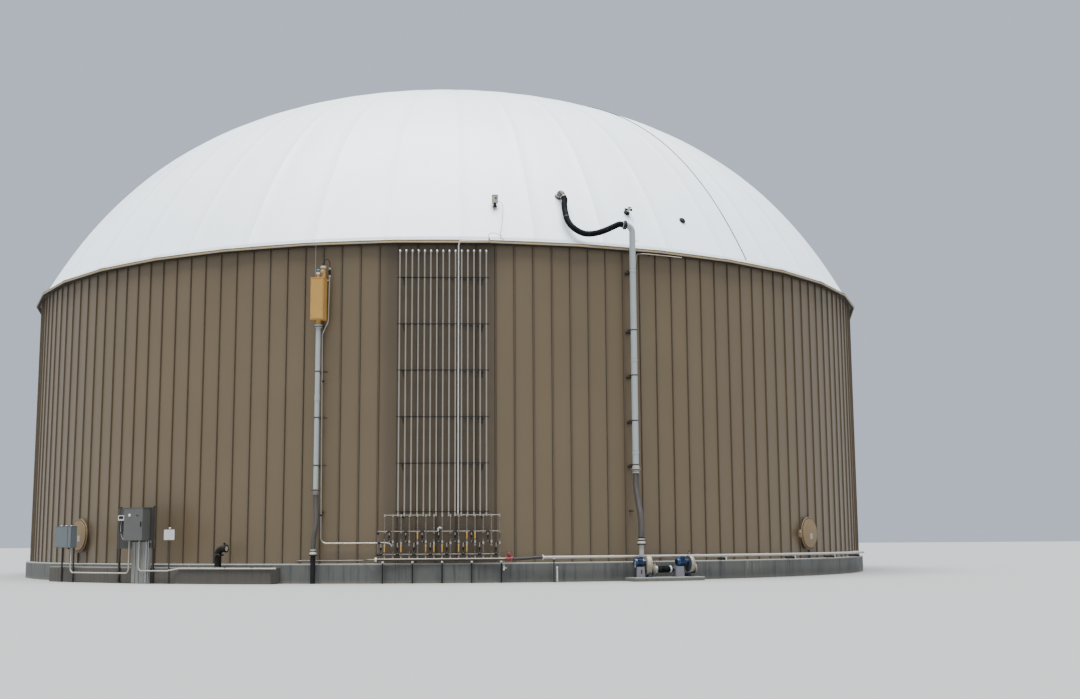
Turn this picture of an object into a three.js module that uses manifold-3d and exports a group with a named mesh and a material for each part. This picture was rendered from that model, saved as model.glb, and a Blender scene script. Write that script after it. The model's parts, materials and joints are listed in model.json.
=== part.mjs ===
// A biogas digester: an insulated round concrete tank with a ribbed metal cladding, a white
// membrane gas dome, and the pipes, blowers and cabinets that stand or hang on its wall.
// Millimetres, +Z up. The tank's axis is Z and the ground is z = 0. A place on the tank is
// given as an azimuth in degrees, 0 facing -Y and growing towards +X, a radius and a height.

import * as THREE from 'three';
import { mergeVertices } from 'three/addons/utils/BufferGeometryUtils.js';
import Module from 'manifold-3d';

const wasm = await Module();
wasm.setup();

// Driving dimensions
const GAP = 0.3;
const FOUNDATION_TOP = 600;
const FOUNDATION_RADIUS = 17120;
const FOUNDATION_INNER_RADIUS = 15900;
const FLOOR_THICKNESS = 300;
const TANK_INNER_RADIUS = 16430;
const TANK_OUTER_RADIUS = 16730;
const WALL_SEGMENTS = 5;
const PANELS = 175;
const RIB_TIP_RADIUS = 16980;
const RIB_HEIGHT = 50;
const RIB_WIDTH = 26;
const FIRST_RIB_AZIMUTH = 0.375;
const EAVE_UNDERSIDE = 10566;
const EAVE_HEIGHT = 100;
const EAVE_RADIUS = 17175;
const EAVE_INNER_RADIUS = 16520;
const EAVE_SIDES = 37;
const EAVE_FIRST_CORNER = -15.75;
const DOME_RIM_RADIUS = 16960;
const DOME_SHELL = 60;
const DOME_SIDES = 48;
const DOME_SEAM_AZIMUTH = 36.7;

// Derived dimensions
const PANEL_STEP = 360 / PANELS;
const PANELS_PER_SEGMENT = PANELS / WALL_SEGMENTS;
const PANEL_FOOT_RADIUS = RIB_TIP_RADIUS - RIB_HEIGHT;
const EAVE_TOP = EAVE_UNDERSIDE + EAVE_HEIGHT;
const DOME_RIM = EAVE_TOP + GAP;

const radians = (degrees) => (degrees * Math.PI) / 180;

// A point from its azimuth in degrees, its distance from the tank's axis and its height.
function at(azimuth, radius, height) {
  const a = radians(azimuth);
  return new THREE.Vector3(radius * Math.sin(a), -radius * Math.cos(a), height);
}

// Solids: joins and cuts
function solidOf(geometry) {
  const bare = geometry.clone();
  bare.deleteAttribute('normal');
  bare.deleteAttribute('uv');
  const merged = mergeVertices(bare, 1e-3);
  const mesh = new wasm.Mesh({
    numProp: 3,
    vertProperties: merged.attributes.position.array,
    triVerts: new Uint32Array(merged.index.array),
  });
  return new wasm.Manifold(mesh);
}

function geometryOf(solid) {
  const mesh = solid.getMesh();
  const geometry = new THREE.BufferGeometry();
  geometry.setAttribute('position', new THREE.BufferAttribute(mesh.vertProperties, 3));
  geometry.setIndex(new THREE.BufferAttribute(mesh.triVerts, 1));
  const flat = geometry.toNonIndexed();
  flat.computeVertexNormals();
  return flat;
}

function fuse(...geometries) {
  return geometryOf(geometries.map(solidOf).reduce((whole, piece) => whole.add(piece)));
}

function cut(geometry, ...cutters) {
  return geometryOf(cutters.map(solidOf).reduce((left, cutter) => left.subtract(cutter), solidOf(geometry)));
}

// Plain shapes
function box(width, depth, height, x, y, z) {
  return new THREE.BoxGeometry(width, depth, height).translate(x, y, z);
}

// A prism or frustum between two points.
function rod(from, to, radius, sides = 12, endRadius = radius) {
  const way = new THREE.Vector3().subVectors(to, from);
  const geometry = new THREE.CylinderGeometry(endRadius, radius, way.length(), sides);
  const turn = new THREE.Quaternion().setFromUnitVectors(
    new THREE.Vector3(0, 1, 0),
    way.clone().normalize(),
  );
  geometry.applyQuaternion(turn);
  const middle = from.clone().add(to).multiplyScalar(0.5);
  return geometry.translate(middle.x, middle.y, middle.z);
}

function ringOfPoints(radius, sides) {
  const points = [];
  for (let k = 0; k < sides; k += 1) {
    const a = (2 * Math.PI * k) / sides;
    points.push(new THREE.Vector2(radius * Math.cos(a), radius * Math.sin(a)));
  }
  return points;
}

// A pipe's centre line: straight runs joined by round bends at the inner corners.
class PipeRun extends THREE.Curve {
  constructor(corners, bendRadius, bendSteps = 4) {
    super();
    this.places = [];
    const last = corners.length - 1;
    const heading = (k) => new THREE.Vector3().subVectors(corners[k + 1], corners[k]).normalize();
    this.places.push({ point: corners[0].clone(), tangent: heading(0) });
    for (let k = 1; k < last; k += 1) {
      const into = heading(k - 1);
      const out = heading(k);
      const angle = into.angleTo(out);
      const setback = bendRadius * Math.tan(angle / 2);
      const start = corners[k].clone().addScaledVector(into, -setback);
      const side = out.clone().addScaledVector(into, -Math.cos(angle)).normalize();
      for (let s = 0; s <= bendSteps; s += 1) {
        const turned = (angle * s) / bendSteps;
        const point = start
          .clone()
          .addScaledVector(into, bendRadius * Math.sin(turned))
          .addScaledVector(side, bendRadius * (1 - Math.cos(turned)));
        const tangent = into
          .clone()
          .multiplyScalar(Math.cos(turned))
          .addScaledVector(side, Math.sin(turned));
        this.places.push({ point, tangent });
      }
    }
    this.places.push({ point: corners[last].clone(), tangent: heading(last - 1) });
  }

  place(t) {
    return this.places[Math.round(t * (this.places.length - 1))];
  }

  getPoint(t) {
    return this.place(t).point.clone();
  }

  getPointAt(t) {
    return this.getPoint(t);
  }

  getTangentAt(t) {
    return this.place(t).tangent.clone();
  }
}

function sweep(path, steps, radius, sides) {
  const section = new THREE.Shape(ringOfPoints(radius, sides));
  return new THREE.ExtrudeGeometry(section, { steps, extrudePath: path, bevelEnabled: false });
}

function pipe(corners, radius, bendRadius, sides = 8, bendSteps = 4) {
  const run = new PipeRun(corners, bendRadius, bendSteps);
  return sweep(run, run.places.length - 1, radius, sides);
}

// A hose's centre line: a smooth curve whose ends point squarely along its first and last stretch.
class HoseLine extends THREE.CatmullRomCurve3 {
  constructor(points) {
    super(points, false, 'centripetal');
  }

  getTangentAt(u, target) {
    const last = this.points.length - 1;
    if (u <= 0) return new THREE.Vector3().subVectors(this.points[1], this.points[0]).normalize();
    if (u >= 1) {
      return new THREE.Vector3().subVectors(this.points[last], this.points[last - 1]).normalize();
    }
    return super.getTangentAt(u, target);
  }
}

function hose(points, radius, steps, sides = 10) {
  return sweep(new HoseLine(points), steps, radius, sides);
}

// A flat-topped solid whose plan is an outline.
function prism(outline, low, high) {
  const shape = new THREE.Shape(outline);
  const settings = { depth: high - low, bevelEnabled: false };
  return new THREE.ExtrudeGeometry(shape, settings).translate(0, 0, low);
}

function planPoint(azimuth, radius) {
  const a = radians(azimuth);
  return new THREE.Vector2(radius * Math.sin(a), -radius * Math.cos(a));
}

// Part of a round wall between two azimuths, its outer and inner faces in flat facets.
function sector(from, to, inner, outer, low, high, facets) {
  const outline = [];
  for (let k = 0; k <= facets; k += 1) {
    outline.push(planPoint(from + ((to - from) * k) / facets, outer));
  }
  for (let k = facets; k >= 0; k -= 1) {
    outline.push(planPoint(from + ((to - from) * k) / facets, inner));
  }
  return prism(outline, low, high);
}

// A full ring with a many-sided outer face and a round inner one.
function ring(inner, outer, low, high, sides, firstCorner = 0) {
  const corner = (k) => firstCorner + (360 * k) / sides;
  const shape = new THREE.Shape(
    Array.from({ length: sides }, (unused, k) => planPoint(corner(k), outer)),
  );
  shape.holes.push(new THREE.Path(
    Array.from({ length: sides }, (unused, k) => planPoint(corner(k), inner)),
  ));
  const settings = { depth: high - low, bevelEnabled: false };
  return new THREE.ExtrudeGeometry(shape, settings).translate(0, 0, low);
}

// Finishes
function finish(color, roughness, metalness = 0) {
  return new THREE.MeshStandardMaterial({ color, roughness, metalness, flatShading: true });
}

const CONCRETE = finish(0x8c8f8a, 0.95);
const CLADDING = finish(0x7a6a56, 0.55, 0.3);
const TRIM = finish(0xb4a27c, 0.5, 0.3);
const MEMBRANE = finish(0xe8edf1, 0.5);
const PIPE_GREY = finish(0xb9c0c2, 0.45, 0.4);
const STAINLESS = finish(0xa8a59e, 0.35, 0.9);
const HOSE_GREY = finish(0x7c7b78, 0.8);
const BLACK_RUBBER = finish(0x16181b, 0.6);
const BLACK_IRON = finish(0x2b2724, 0.7, 0.4);
const GOLDEN_PAINT = finish(0xc49a58, 0.5, 0.2);
const BLUE_PAINT = finish(0x1f4a86, 0.45, 0.2);
const BEIGE_PAINT = finish(0xbfb49b, 0.5, 0.2);
const RED_PAINT = finish(0x9c2a26, 0.5, 0.2);
const CABINET_GREY = finish(0x8d8f90, 0.45, 0.5);
const STRUT = finish(0x55534f, 0.6, 0.6);
const WHITE_PLASTIC = finish(0xdadcd8, 0.5);

const digester = new THREE.Group();

function add(name, geometry, material, holder = digester) {
  const mesh = new THREE.Mesh(geometry, material);
  mesh.name = name;
  holder.add(mesh);
  return mesh;
}

// A group turned so that -Y points straight out of the tank at an azimuth.
function facing(azimuth) {
  const group = new THREE.Group();
  group.rotation.z = radians(azimuth);
  digester.add(group);
  return group;
}

// Foundation and floor
const FOUNDATION_SIDES = 60;

function foundation(grow = 0) {
  return ring(
    FOUNDATION_INNER_RADIUS,
    FOUNDATION_RADIUS + grow,
    0,
    FOUNDATION_TOP,
    FOUNDATION_SIDES,
  );
}

add('foundation_ring', foundation(), CONCRETE);
add(
  'floor_slab',
  prism(
    Array.from({ length: FOUNDATION_SIDES }, (unused, k) =>
      planPoint((360 * k) / FOUNDATION_SIDES, FOUNDATION_INNER_RADIUS - GAP)),
    0,
    FLOOR_THICKNESS,
  ),
  CONCRETE,
);

// Concrete wall and its ribbed cladding, in equal segments
const SEGMENT_ANGLE = 360 / WALL_SEGMENTS;
const SEGMENT_FACETS = 14;
const JOINT_ANGLE = ((GAP / RIB_TIP_RADIUS) * 180) / Math.PI;
const HALF_RIB = ((RIB_WIDTH / 2 / RIB_TIP_RADIUS) * 180) / Math.PI;
const WALL_BASE = FOUNDATION_TOP + GAP;
const WALL_TOP = EAVE_UNDERSIDE - GAP;

const ribAzimuth = (k) => FIRST_RIB_AZIMUTH + k * PANEL_STEP;

// The plan of a band of cladding: rib, panel, rib, panel and so on.
function claddingBand(firstRib, count, inner, grow = 0) {
  const start = ribAzimuth(firstRib) - HALF_RIB;
  const end = ribAzimuth(firstRib + count) - HALF_RIB - JOINT_ANGLE;
  const spread = ((grow / RIB_TIP_RADIUS) * 180) / Math.PI;
  const outline = [];
  for (let k = 0; k < count; k += 1) {
    const middle = ribAzimuth(firstRib + k);
    outline.push(planPoint(middle - HALF_RIB - spread, PANEL_FOOT_RADIUS + grow));
    outline.push(planPoint(middle - HALF_RIB - spread, RIB_TIP_RADIUS + grow));
    outline.push(planPoint(middle + HALF_RIB + spread, RIB_TIP_RADIUS + grow));
    outline.push(planPoint(middle + HALF_RIB + spread, PANEL_FOOT_RADIUS + grow));
  }
  outline.push(planPoint(end, PANEL_FOOT_RADIUS + grow));
  for (let k = SEGMENT_FACETS; k >= 0; k -= 1) {
    outline.push(planPoint(start + ((end - start) * k) / SEGMENT_FACETS, inner));
  }
  return outline.filter((point, k) => k === 0 || point.distanceTo(outline[k - 1]) > 1e-6);
}

// What a fitting at an azimuth is cut back by so that it sits on the panels and round the ribs.
function claddingNear(azimuth, halfSpan) {
  const firstRib = Math.floor((azimuth - halfSpan - FIRST_RIB_AZIMUTH) / PANEL_STEP);
  const count = Math.ceil((2 * halfSpan) / PANEL_STEP) + 2;
  return prism(
    claddingBand(firstRib, count, TANK_INNER_RADIUS, GAP),
    FOUNDATION_TOP,
    EAVE_UNDERSIDE,
  );
}

for (let s = 0; s < WALL_SEGMENTS; s += 1) {
  const firstRib = Math.round((s - WALL_SEGMENTS / 2) * PANELS_PER_SEGMENT);
  const start = ribAzimuth(firstRib) - HALF_RIB;
  const end = start + SEGMENT_ANGLE - JOINT_ANGLE;
  add(
    `tank_wall_${s + 1}`,
    sector(start, end, TANK_INNER_RADIUS, TANK_OUTER_RADIUS, WALL_BASE, WALL_TOP, SEGMENT_FACETS),
    CONCRETE,
  );
  add(
    `wall_cladding_${s + 1}`,
    prism(
      claddingBand(firstRib, PANELS_PER_SEGMENT, TANK_OUTER_RADIUS + 2 * GAP),
      WALL_BASE,
      WALL_TOP,
    ),
    CLADDING,
  );
}

// Eave trim: a flat ring of straight lengths that caps the wall and its cladding
function eaveRing(grow = 0) {
  return ring(
    EAVE_INNER_RADIUS,
    EAVE_RADIUS + grow,
    EAVE_UNDERSIDE - grow,
    EAVE_TOP + grow,
    EAVE_SIDES,
    EAVE_FIRST_CORNER,
  );
}

add('eave_trim', eaveRing(), TRIM);

// Membrane dome. Its height follows the radius by an even curve that steepens at the rim.
const DOME_CREST = 19364;
const DOME_SQUARE_TERM = 5715;
const DOME_SIXTH_TERM = 3591;
const DOME_RINGS = 9;
const DOME_FLANK_RADIUS = 16880;

function domeHeight(radius) {
  const r = radius / RIB_TIP_RADIUS;
  return FOUNDATION_TOP + DOME_CREST - DOME_SQUARE_TERM * r ** 2 - DOME_SIXTH_TERM * r ** 6;
}

// The outward slant of the dome's surface at a radius, as parts outwards and upwards.
function domeNormal(radius) {
  const r = radius / RIB_TIP_RADIUS;
  const fall = (2 * DOME_SQUARE_TERM * r + 6 * DOME_SIXTH_TERM * r ** 5) / RIB_TIP_RADIUS;
  return new THREE.Vector2(fall, 1).normalize();
}

// The dome's half section from its crest to its rim; rings crowd towards the steep flank.
function domeProfile(offset) {
  const profile = [];
  for (let k = 0; k <= DOME_RINGS; k += 1) {
    const share = k / DOME_RINGS;
    const radius = DOME_FLANK_RADIUS * Math.sin((share * Math.PI) / 2) ** 0.9;
    const normal = domeNormal(radius);
    profile.push(new THREE.Vector2(
      Math.max(radius + normal.x * offset, 0),
      domeHeight(radius) + normal.y * offset,
    ));
  }
  return profile;
}

function domeShell(outerOffset, innerOffset, rim) {
  const outer = domeProfile(outerOffset);
  outer[0].x = 0;
  outer.push(new THREE.Vector2(DOME_RIM_RADIUS + outerOffset, rim));
  const inner = domeProfile(-innerOffset).filter((point, k) => k % 2 === 1);
  inner.reverse();
  inner.unshift(new THREE.Vector2(DOME_RIM_RADIUS - innerOffset, rim));
  inner.push(new THREE.Vector2(0, domeHeight(0) - innerOffset));
  const start = radians(DOME_SEAM_AZIMUTH);
  const geometry = new THREE.LatheGeometry([...outer, ...inner].reverse(), DOME_SIDES, start);
  return geometry.rotateX(Math.PI / 2);
}

add('roof_membrane', domeShell(0, DOME_SHELL, DOME_RIM), MEMBRANE);

// Fittings on the wall are cut back to the cladding that carries them, in their own frame.
const GROUND = 0;
const WALL_DEEP = PANEL_FOOT_RADIUS - 20;

function seatOnCladding(geometry, azimuth, halfSpan) {
  return cut(geometry, claddingNear(azimuth, halfSpan).rotateZ(-radians(azimuth)));
}

// Manway covers: a raised round cover bolted to a flange on a short neck, with a hinge lug
const MANWAYS = [
  { side: 'left', azimuth: -48.2, height: 1530 },
  { side: 'right', azimuth: 47.1, height: 1460 },
];
const MANWAY_NECK_RADIUS = 440;
const MANWAY_FLANGE = { radius: 570, back: 17040, face: 17070 };
const MANWAY_COVER = { radius: 500, face: 17100 };
const MANWAY_LUG = { width: 190, depth: 50, height: 255, across: -640, radius: 17055 };
const OVERLAP = 10;

for (const { side, azimuth, height } of MANWAYS) {
  const middle = (radius) => new THREE.Vector3(0, -radius, height);
  const { radius, back, face } = MANWAY_FLANGE;
  const neck = rod(middle(WALL_DEEP), middle(back + OVERLAP), MANWAY_NECK_RADIUS, 24);
  const flange = rod(middle(back), middle(face), radius, 32);
  const cover = rod(middle(face - OVERLAP), middle(MANWAY_COVER.face), MANWAY_COVER.radius, 32);
  const lug = box(
    MANWAY_LUG.width,
    MANWAY_LUG.depth,
    MANWAY_LUG.height,
    MANWAY_LUG.across,
    -MANWAY_LUG.radius,
    height,
  );
  add(
    `manway_cover_${side}`,
    seatOnCladding(fuse(neck, flange, cover, lug), azimuth, 4),
    GOLDEN_PAINT,
    facing(azimuth),
  );
}

// Pressure relief: a housing high on the wall over a pipe that runs down to the ground
const RELIEF_AZIMUTH = -14.1;
const RELIEF_AXIS = 17270;
const RELIEF_PIPE_RADIUS = 75;
const RELIEF_HOSE_RADIUS = 77;
const RELIEF_FLANGE_RADIUS = 120;
const RELIEF_BOX = { width: 420, depth: 360, bottom: 8130, top: 9470 };
const RELIEF_PIPE_TOP = 7920;
const RELIEF_PIPE_BOTTOM = 2820;
const RELIEF_HOSE_BOTTOM = 890;
const RELIEF_STUB = { across: -50, radius: 74, flange: 50 };
const RELIEF_BRACKETS = [6520, 5080, 3600];
const BRACKET_SECTION = 41;
const DRAIN_RADIUS = 26;
const DRAIN_AXIS = 17100;
const reliefFrame = facing(RELIEF_AZIMUTH);
const reliefPoint = (height, across = 0) => new THREE.Vector3(across, -RELIEF_AXIS, height);

function wallArm(across, height, reach, width = BRACKET_SECTION) {
  const depth = reach - WALL_DEEP;
  return box(width, depth, BRACKET_SECTION, across, -(reach + WALL_DEEP) / 2, height);
}

const reliefBack = RELIEF_AXIS - RELIEF_BOX.depth / 2;
const reliefMiddle = (RELIEF_BOX.bottom + RELIEF_BOX.top) / 2;
add(
  'relief_housing',
  seatOnCladding(
    fuse(
      box(
        RELIEF_BOX.width,
        RELIEF_BOX.depth,
        RELIEF_BOX.top - RELIEF_BOX.bottom,
        0,
        -RELIEF_AXIS,
        reliefMiddle,
      ),
      wallArm(-120, RELIEF_BOX.top - 250, reliefBack + 10, 80),
      wallArm(-120, RELIEF_BOX.bottom + 250, reliefBack + 10, 80),
      rod(
        reliefPoint(RELIEF_PIPE_TOP + 50),
        reliefPoint(RELIEF_BOX.bottom + OVERLAP),
        RELIEF_PIPE_RADIUS,
        12,
      ),
      rod(reliefPoint(RELIEF_PIPE_TOP), reliefPoint(RELIEF_PIPE_TOP + 65), 130, 16),
    ),
    RELIEF_AZIMUTH,
    3,
  ),
  GOLDEN_PAINT,
  reliefFrame,
);

const VENT_ACROSS = 110;
const VENT_BACK = 17200;
const ventPoint = (height) => new THREE.Vector3(VENT_ACROSS, -VENT_BACK, height);
const gaugePoint = (height) => new THREE.Vector3(-16, -RELIEF_AXIS - 40, height);
add(
  'relief_vent',
  fuse(
    rod(ventPoint(RELIEF_BOX.top + GAP), ventPoint(9800), 75, 12),
    rod(ventPoint(9790), ventPoint(9870), 95, 16),
    rod(gaugePoint(RELIEF_BOX.top + GAP), gaugePoint(9740), 68, 12),
    box(190, 60, 50, 10, -RELIEF_AXIS, RELIEF_BOX.top + GAP + 25),
  ),
  GOLDEN_PAINT,
  reliefFrame,
);

add(
  'relief_pipe',
  seatOnCladding(
    fuse(
      rod(reliefPoint(RELIEF_PIPE_BOTTOM), reliefPoint(RELIEF_PIPE_TOP - GAP), RELIEF_PIPE_RADIUS, 16),
      rod(
        reliefPoint(RELIEF_PIPE_BOTTOM),
        reliefPoint(RELIEF_PIPE_BOTTOM + 30),
        RELIEF_FLANGE_RADIUS,
        16,
      ),
      ...RELIEF_BRACKETS.map((height) => wallArm(0, height, RELIEF_AXIS)),
      ...RELIEF_BRACKETS.map((height) =>
        box(330, 36, BRACKET_SECTION, 80, -(DRAIN_AXIS - DRAIN_RADIUS - GAP - 18), height)),
    ),
    RELIEF_AZIMUTH,
    3,
  ),
  PIPE_GREY,
  reliefFrame,
);

const reliefHosePoints = [
  reliefPoint(RELIEF_PIPE_BOTTOM - GAP),
  reliefPoint(2700),
  reliefPoint(2350, 20),
  reliefPoint(2050, 35),
  reliefPoint(1720, 22),
  reliefPoint(1380, -35),
  reliefPoint(1100, RELIEF_STUB.across),
  reliefPoint(RELIEF_HOSE_BOTTOM + GAP, RELIEF_STUB.across),
];
add('relief_hose', hose(reliefHosePoints, RELIEF_HOSE_RADIUS, 12), HOSE_GREY, reliefFrame);

const stubPoint = (height) => reliefPoint(height, RELIEF_STUB.across);
add(
  'relief_stub',
  fuse(
    rod(stubPoint(GROUND), stubPoint(RELIEF_HOSE_BOTTOM - OVERLAP), RELIEF_STUB.radius, 16),
    rod(
      stubPoint(RELIEF_HOSE_BOTTOM - RELIEF_STUB.flange),
      stubPoint(RELIEF_HOSE_BOTTOM),
      RELIEF_FLANGE_RADIUS,
      16,
    ),
  ),
  BLACK_IRON,
  reliefFrame,
);

add(
  'condensate_line',
  pipe(
    [
      at(-13.14, DRAIN_AXIS, 9640),
      at(-13.22, DRAIN_AXIS, 8120),
      at(-13.84, DRAIN_AXIS, 7720),
      at(-13.66, DRAIN_AXIS, 1215),
      at(-7.75, DRAIN_AXIS, 1215),
    ],
    DRAIN_RADIUS,
    180,
    6,
  ),
  STAINLESS,
);

// Riser rack: upright pipes on level struts; each turns into the wall under the eave
const RACK_AZIMUTH = -1.05;
const RACK_AXIS = 17165;
const RISERS = 15;
const RISER_RADIUS = 30;
const RISER_SPAN = 2700;
const RISER_TOP = 10330;
const RISER_BEND = 90;
const RACK_STRUTS = [9440, 7970, 6520, 5070, 3640, 2160];
const STRUT_DEPTH = 40;
const STRUT_LENGTH = 2880;
const ARM_ACROSS = 1210;
const MANIFOLD_TOP = 2050;
const MANIFOLD_PIPE_RADIUS = 21;
const rackFrame = facing(RACK_AZIMUTH);
const rackPoint = (across, height, radius = RACK_AXIS) => new THREE.Vector3(across, -radius, height);
const strutFront = RACK_AXIS - RISER_RADIUS + 5;

const risers = Array.from({ length: RISERS }, (unused, k) => {
  const across = RISER_SPAN * (k / (RISERS - 1) - 0.5);
  return pipe(
    [
      rackPoint(across, MANIFOLD_TOP),
      rackPoint(across, RISER_TOP),
      rackPoint(across, RISER_TOP, WALL_DEEP),
    ],
    RISER_RADIUS,
    RISER_BEND,
    6,
    2,
  );
});
const struts = RACK_STRUTS.flatMap((height) => [
  box(STRUT_LENGTH, STRUT_DEPTH, BRACKET_SECTION, 0, -strutFront + STRUT_DEPTH / 2, height),
  wallArm(-ARM_ACROSS, height, strutFront - STRUT_DEPTH + 5, 60),
  wallArm(ARM_ACROSS, height, strutFront - STRUT_DEPTH + 5, 60),
]);

// Manifold: drops, two headers and valve bodies under the risers
const DROPS = 15;
const DROP_SPAN = 3500;
const HEADER_HEIGHTS = [1560, 870];
const MAIN_HEADER_HEIGHT = 715;
const MAIN_HEADER_RADIUS = 45;
const MAIN_HEADER_ENDS = [-2000, 1930];
const LEG_ACROSS = [-1800, -900, 0, 900, 1800];

const levelPipe = (from, to, height, radius, sides = 8) =>
  rod(rackPoint(from, height), rackPoint(to, height), radius, sides);
const drops = Array.from({ length: DROPS }, (unused, k) => {
  const across = DROP_SPAN * (k / (DROPS - 1) - 0.5);
  return rod(
    rackPoint(across, MAIN_HEADER_HEIGHT),
    rackPoint(across, MANIFOLD_TOP),
    MANIFOLD_PIPE_RADIUS,
    6,
  );
});
const headerHalf = DROP_SPAN / 2 + MANIFOLD_PIPE_RADIUS;
const topHeader = levelPipe(-headerHalf, headerHalf, MANIFOLD_TOP, MANIFOLD_PIPE_RADIUS + 3, 6);

add(
  'riser_rack',
  seatOnCladding(
    cut(
      fuse(...risers, ...struts),
      levelPipe(-headerHalf - 1, headerHalf + 1, MANIFOLD_TOP, MANIFOLD_PIPE_RADIUS + 3 + GAP, 6),
      box(4000, 200, 100, 0, -RACK_AXIS, MANIFOLD_TOP - 50),
    ),
    RACK_AZIMUTH,
    6,
  ),
  STAINLESS,
  rackFrame,
);

const mainHeader = (grow) => levelPipe(
  MAIN_HEADER_ENDS[0] - grow,
  MAIN_HEADER_ENDS[1] + grow,
  MAIN_HEADER_HEIGHT,
  MAIN_HEADER_RADIUS + grow,
  12,
);

add(
  'manifold',
  cut(
    fuse(
      topHeader,
      ...HEADER_HEIGHTS.map((height) =>
        levelPipe(-headerHalf - 180, headerHalf - 60, height, MANIFOLD_PIPE_RADIUS - 3, 4)),
      ...drops,
    ),
    mainHeader(GAP),
    box(4200, 200, 80, 0, -RACK_AXIS, MAIN_HEADER_HEIGHT - 40),
  ),
  STAINLESS,
  rackFrame,
);

add(
  'main_header',
  fuse(
    mainHeader(0),
    rod(
      rackPoint(MAIN_HEADER_ENDS[0] - 50, MAIN_HEADER_HEIGHT),
      rackPoint(MAIN_HEADER_ENDS[0] + 20, MAIN_HEADER_HEIGHT),
      75,
      12,
    ),
    ...LEG_ACROSS.map((across) =>
      box(40, 38, MAIN_HEADER_HEIGHT - 20, across, -RACK_AXIS, (MAIN_HEADER_HEIGHT - 20) / 2)),
    ...LEG_ACROSS.map((across) =>
      box(80, 110, 30, across, -RACK_AXIS, MAIN_HEADER_HEIGHT - MAIN_HEADER_RADIUS - 5)),
  ),
  STAINLESS,
  rackFrame,
);

// Small conduit that climbs the rack between two risers and follows the eave
const CONDUIT_RADIUS = 20;
const CONDUIT_ACROSS = 480;
const conduitAxis = strutFront + CONDUIT_RADIUS + GAP;
const eaveFace = EAVE_RADIUS + CONDUIT_RADIUS;
add(
  'eave_conduit',
  cut(
    pipe(
      [
        rackPoint(CONDUIT_ACROSS, MANIFOLD_TOP + 40, conduitAxis),
        rackPoint(CONDUIT_ACROSS, 10450, conduitAxis),
        rackPoint(CONDUIT_ACROSS + 40, 10610, eaveFace + 12),
        rackPoint(CONDUIT_ACROSS + 950, 10630, eaveFace - 14),
      ],
      CONDUIT_RADIUS,
      70,
      6,
      2,
    ),
    eaveRing(GAP).rotateZ(-radians(RACK_AZIMUTH)),
  ),
  WHITE_PLASTIC,
  rackFrame,
);

// Feed line low on the wall, from the left into the main header
const FEED_RADIUS = 25;
const FEED_AXIS = 17075;
const FEED_HEIGHT = 690;
const FEED_START = -16.3;
const rackToWorld = (point) =>
  point.clone().applyAxisAngle(new THREE.Vector3(0, 0, 1), radians(RACK_AZIMUTH));

add(
  'feed_line',
  cut(
    pipe(
      [
        at(FEED_START, WALL_DEEP, FEED_HEIGHT),
        at(FEED_START, FEED_AXIS, FEED_HEIGHT),
        at(-9.1, FEED_AXIS, FEED_HEIGHT),
        rackToWorld(rackPoint(MAIN_HEADER_ENDS[0] - 260, MAIN_HEADER_HEIGHT)),
        rackToWorld(rackPoint(MAIN_HEADER_ENDS[0] - 50 - GAP, MAIN_HEADER_HEIGHT)),
      ],
      FEED_RADIUS,
      60,
      6,
      2,
    ),
    claddingNear(FEED_START, 2),
  ),
  STAINLESS,
);

// Gate valve, its handwheel and the pipe that follows the wall round to the right
const BASE_PIPE_RADIUS = 43;
const BASE_PIPE_AXIS = 17350;
const BASE_PIPE_HEIGHT = 715;
const BASE_PIPE_START = 9.1;
const BASE_PIPE_END = 64.2;
const BASE_PIPE_STEPS = 18;
const BASE_LEG = 10.3;
const BASE_ARMS = [20.4, 30.6, 42.0, 51.4, 61];
const BASE_ARM_WIDTH = 41;
const BASE_ARM_DEPTH = 82;
const BASE_ARM_TIP = 17400;

const gateAcross = MAIN_HEADER_ENDS[1];
const gatePoint = (along, height = MAIN_HEADER_HEIGHT, radius = RACK_AXIS) =>
  rackPoint(gateAcross + along, height, radius);
add(
  'gate_valve',
  fuse(
    rod(gatePoint(GAP), gatePoint(30), 80, 12),
    rod(gatePoint(20), gatePoint(190), 60, 12),
    rod(gatePoint(180), gatePoint(210), 80, 12),
    rod(gatePoint(105), gatePoint(105, MAIN_HEADER_HEIGHT + 150), 45, 10),
    rod(gatePoint(105, MAIN_HEADER_HEIGHT + 140), gatePoint(105, MAIN_HEADER_HEIGHT + 240), 12, 8),
    rod(gatePoint(105, MAIN_HEADER_HEIGHT + 225), gatePoint(105, MAIN_HEADER_HEIGHT + 250), 95, 16),
  ),
  RED_PAINT,
  rackFrame,
);

const connectorStart = rackToWorld(gatePoint(210 + GAP));
const basePipeStart = at(BASE_PIPE_START, BASE_PIPE_AXIS, BASE_PIPE_HEIGHT + 40);
const basePipeHeading = new THREE.Vector3(
  Math.cos(radians(BASE_PIPE_START)),
  Math.sin(radians(BASE_PIPE_START)),
  0,
);

// The pipe's own places: short straight lengths on a circle round the tank.
class WallFollower extends THREE.Curve {
  constructor(from, to, radius, height) {
    super();
    Object.assign(this, { from, to, radius, height });
  }

  getPoint(t) {
    return at(this.from + (this.to - this.from) * t, this.radius, this.height);
  }
}

const basePipe = sweep(
  new WallFollower(BASE_PIPE_START, BASE_PIPE_END, BASE_PIPE_AXIS, BASE_PIPE_HEIGHT + 40),
  BASE_PIPE_STEPS,
  BASE_PIPE_RADIUS,
  8,
);
const endElbow = pipe(
  [
    at(BASE_PIPE_END - 0.3, BASE_PIPE_AXIS, BASE_PIPE_HEIGHT + 40),
    at(BASE_PIPE_END + 0.55, BASE_PIPE_AXIS, BASE_PIPE_HEIGHT + 40),
    at(BASE_PIPE_END + 0.55, WALL_DEEP, BASE_PIPE_HEIGHT + 40),
  ],
  BASE_PIPE_RADIUS + 2,
  110,
);

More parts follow.
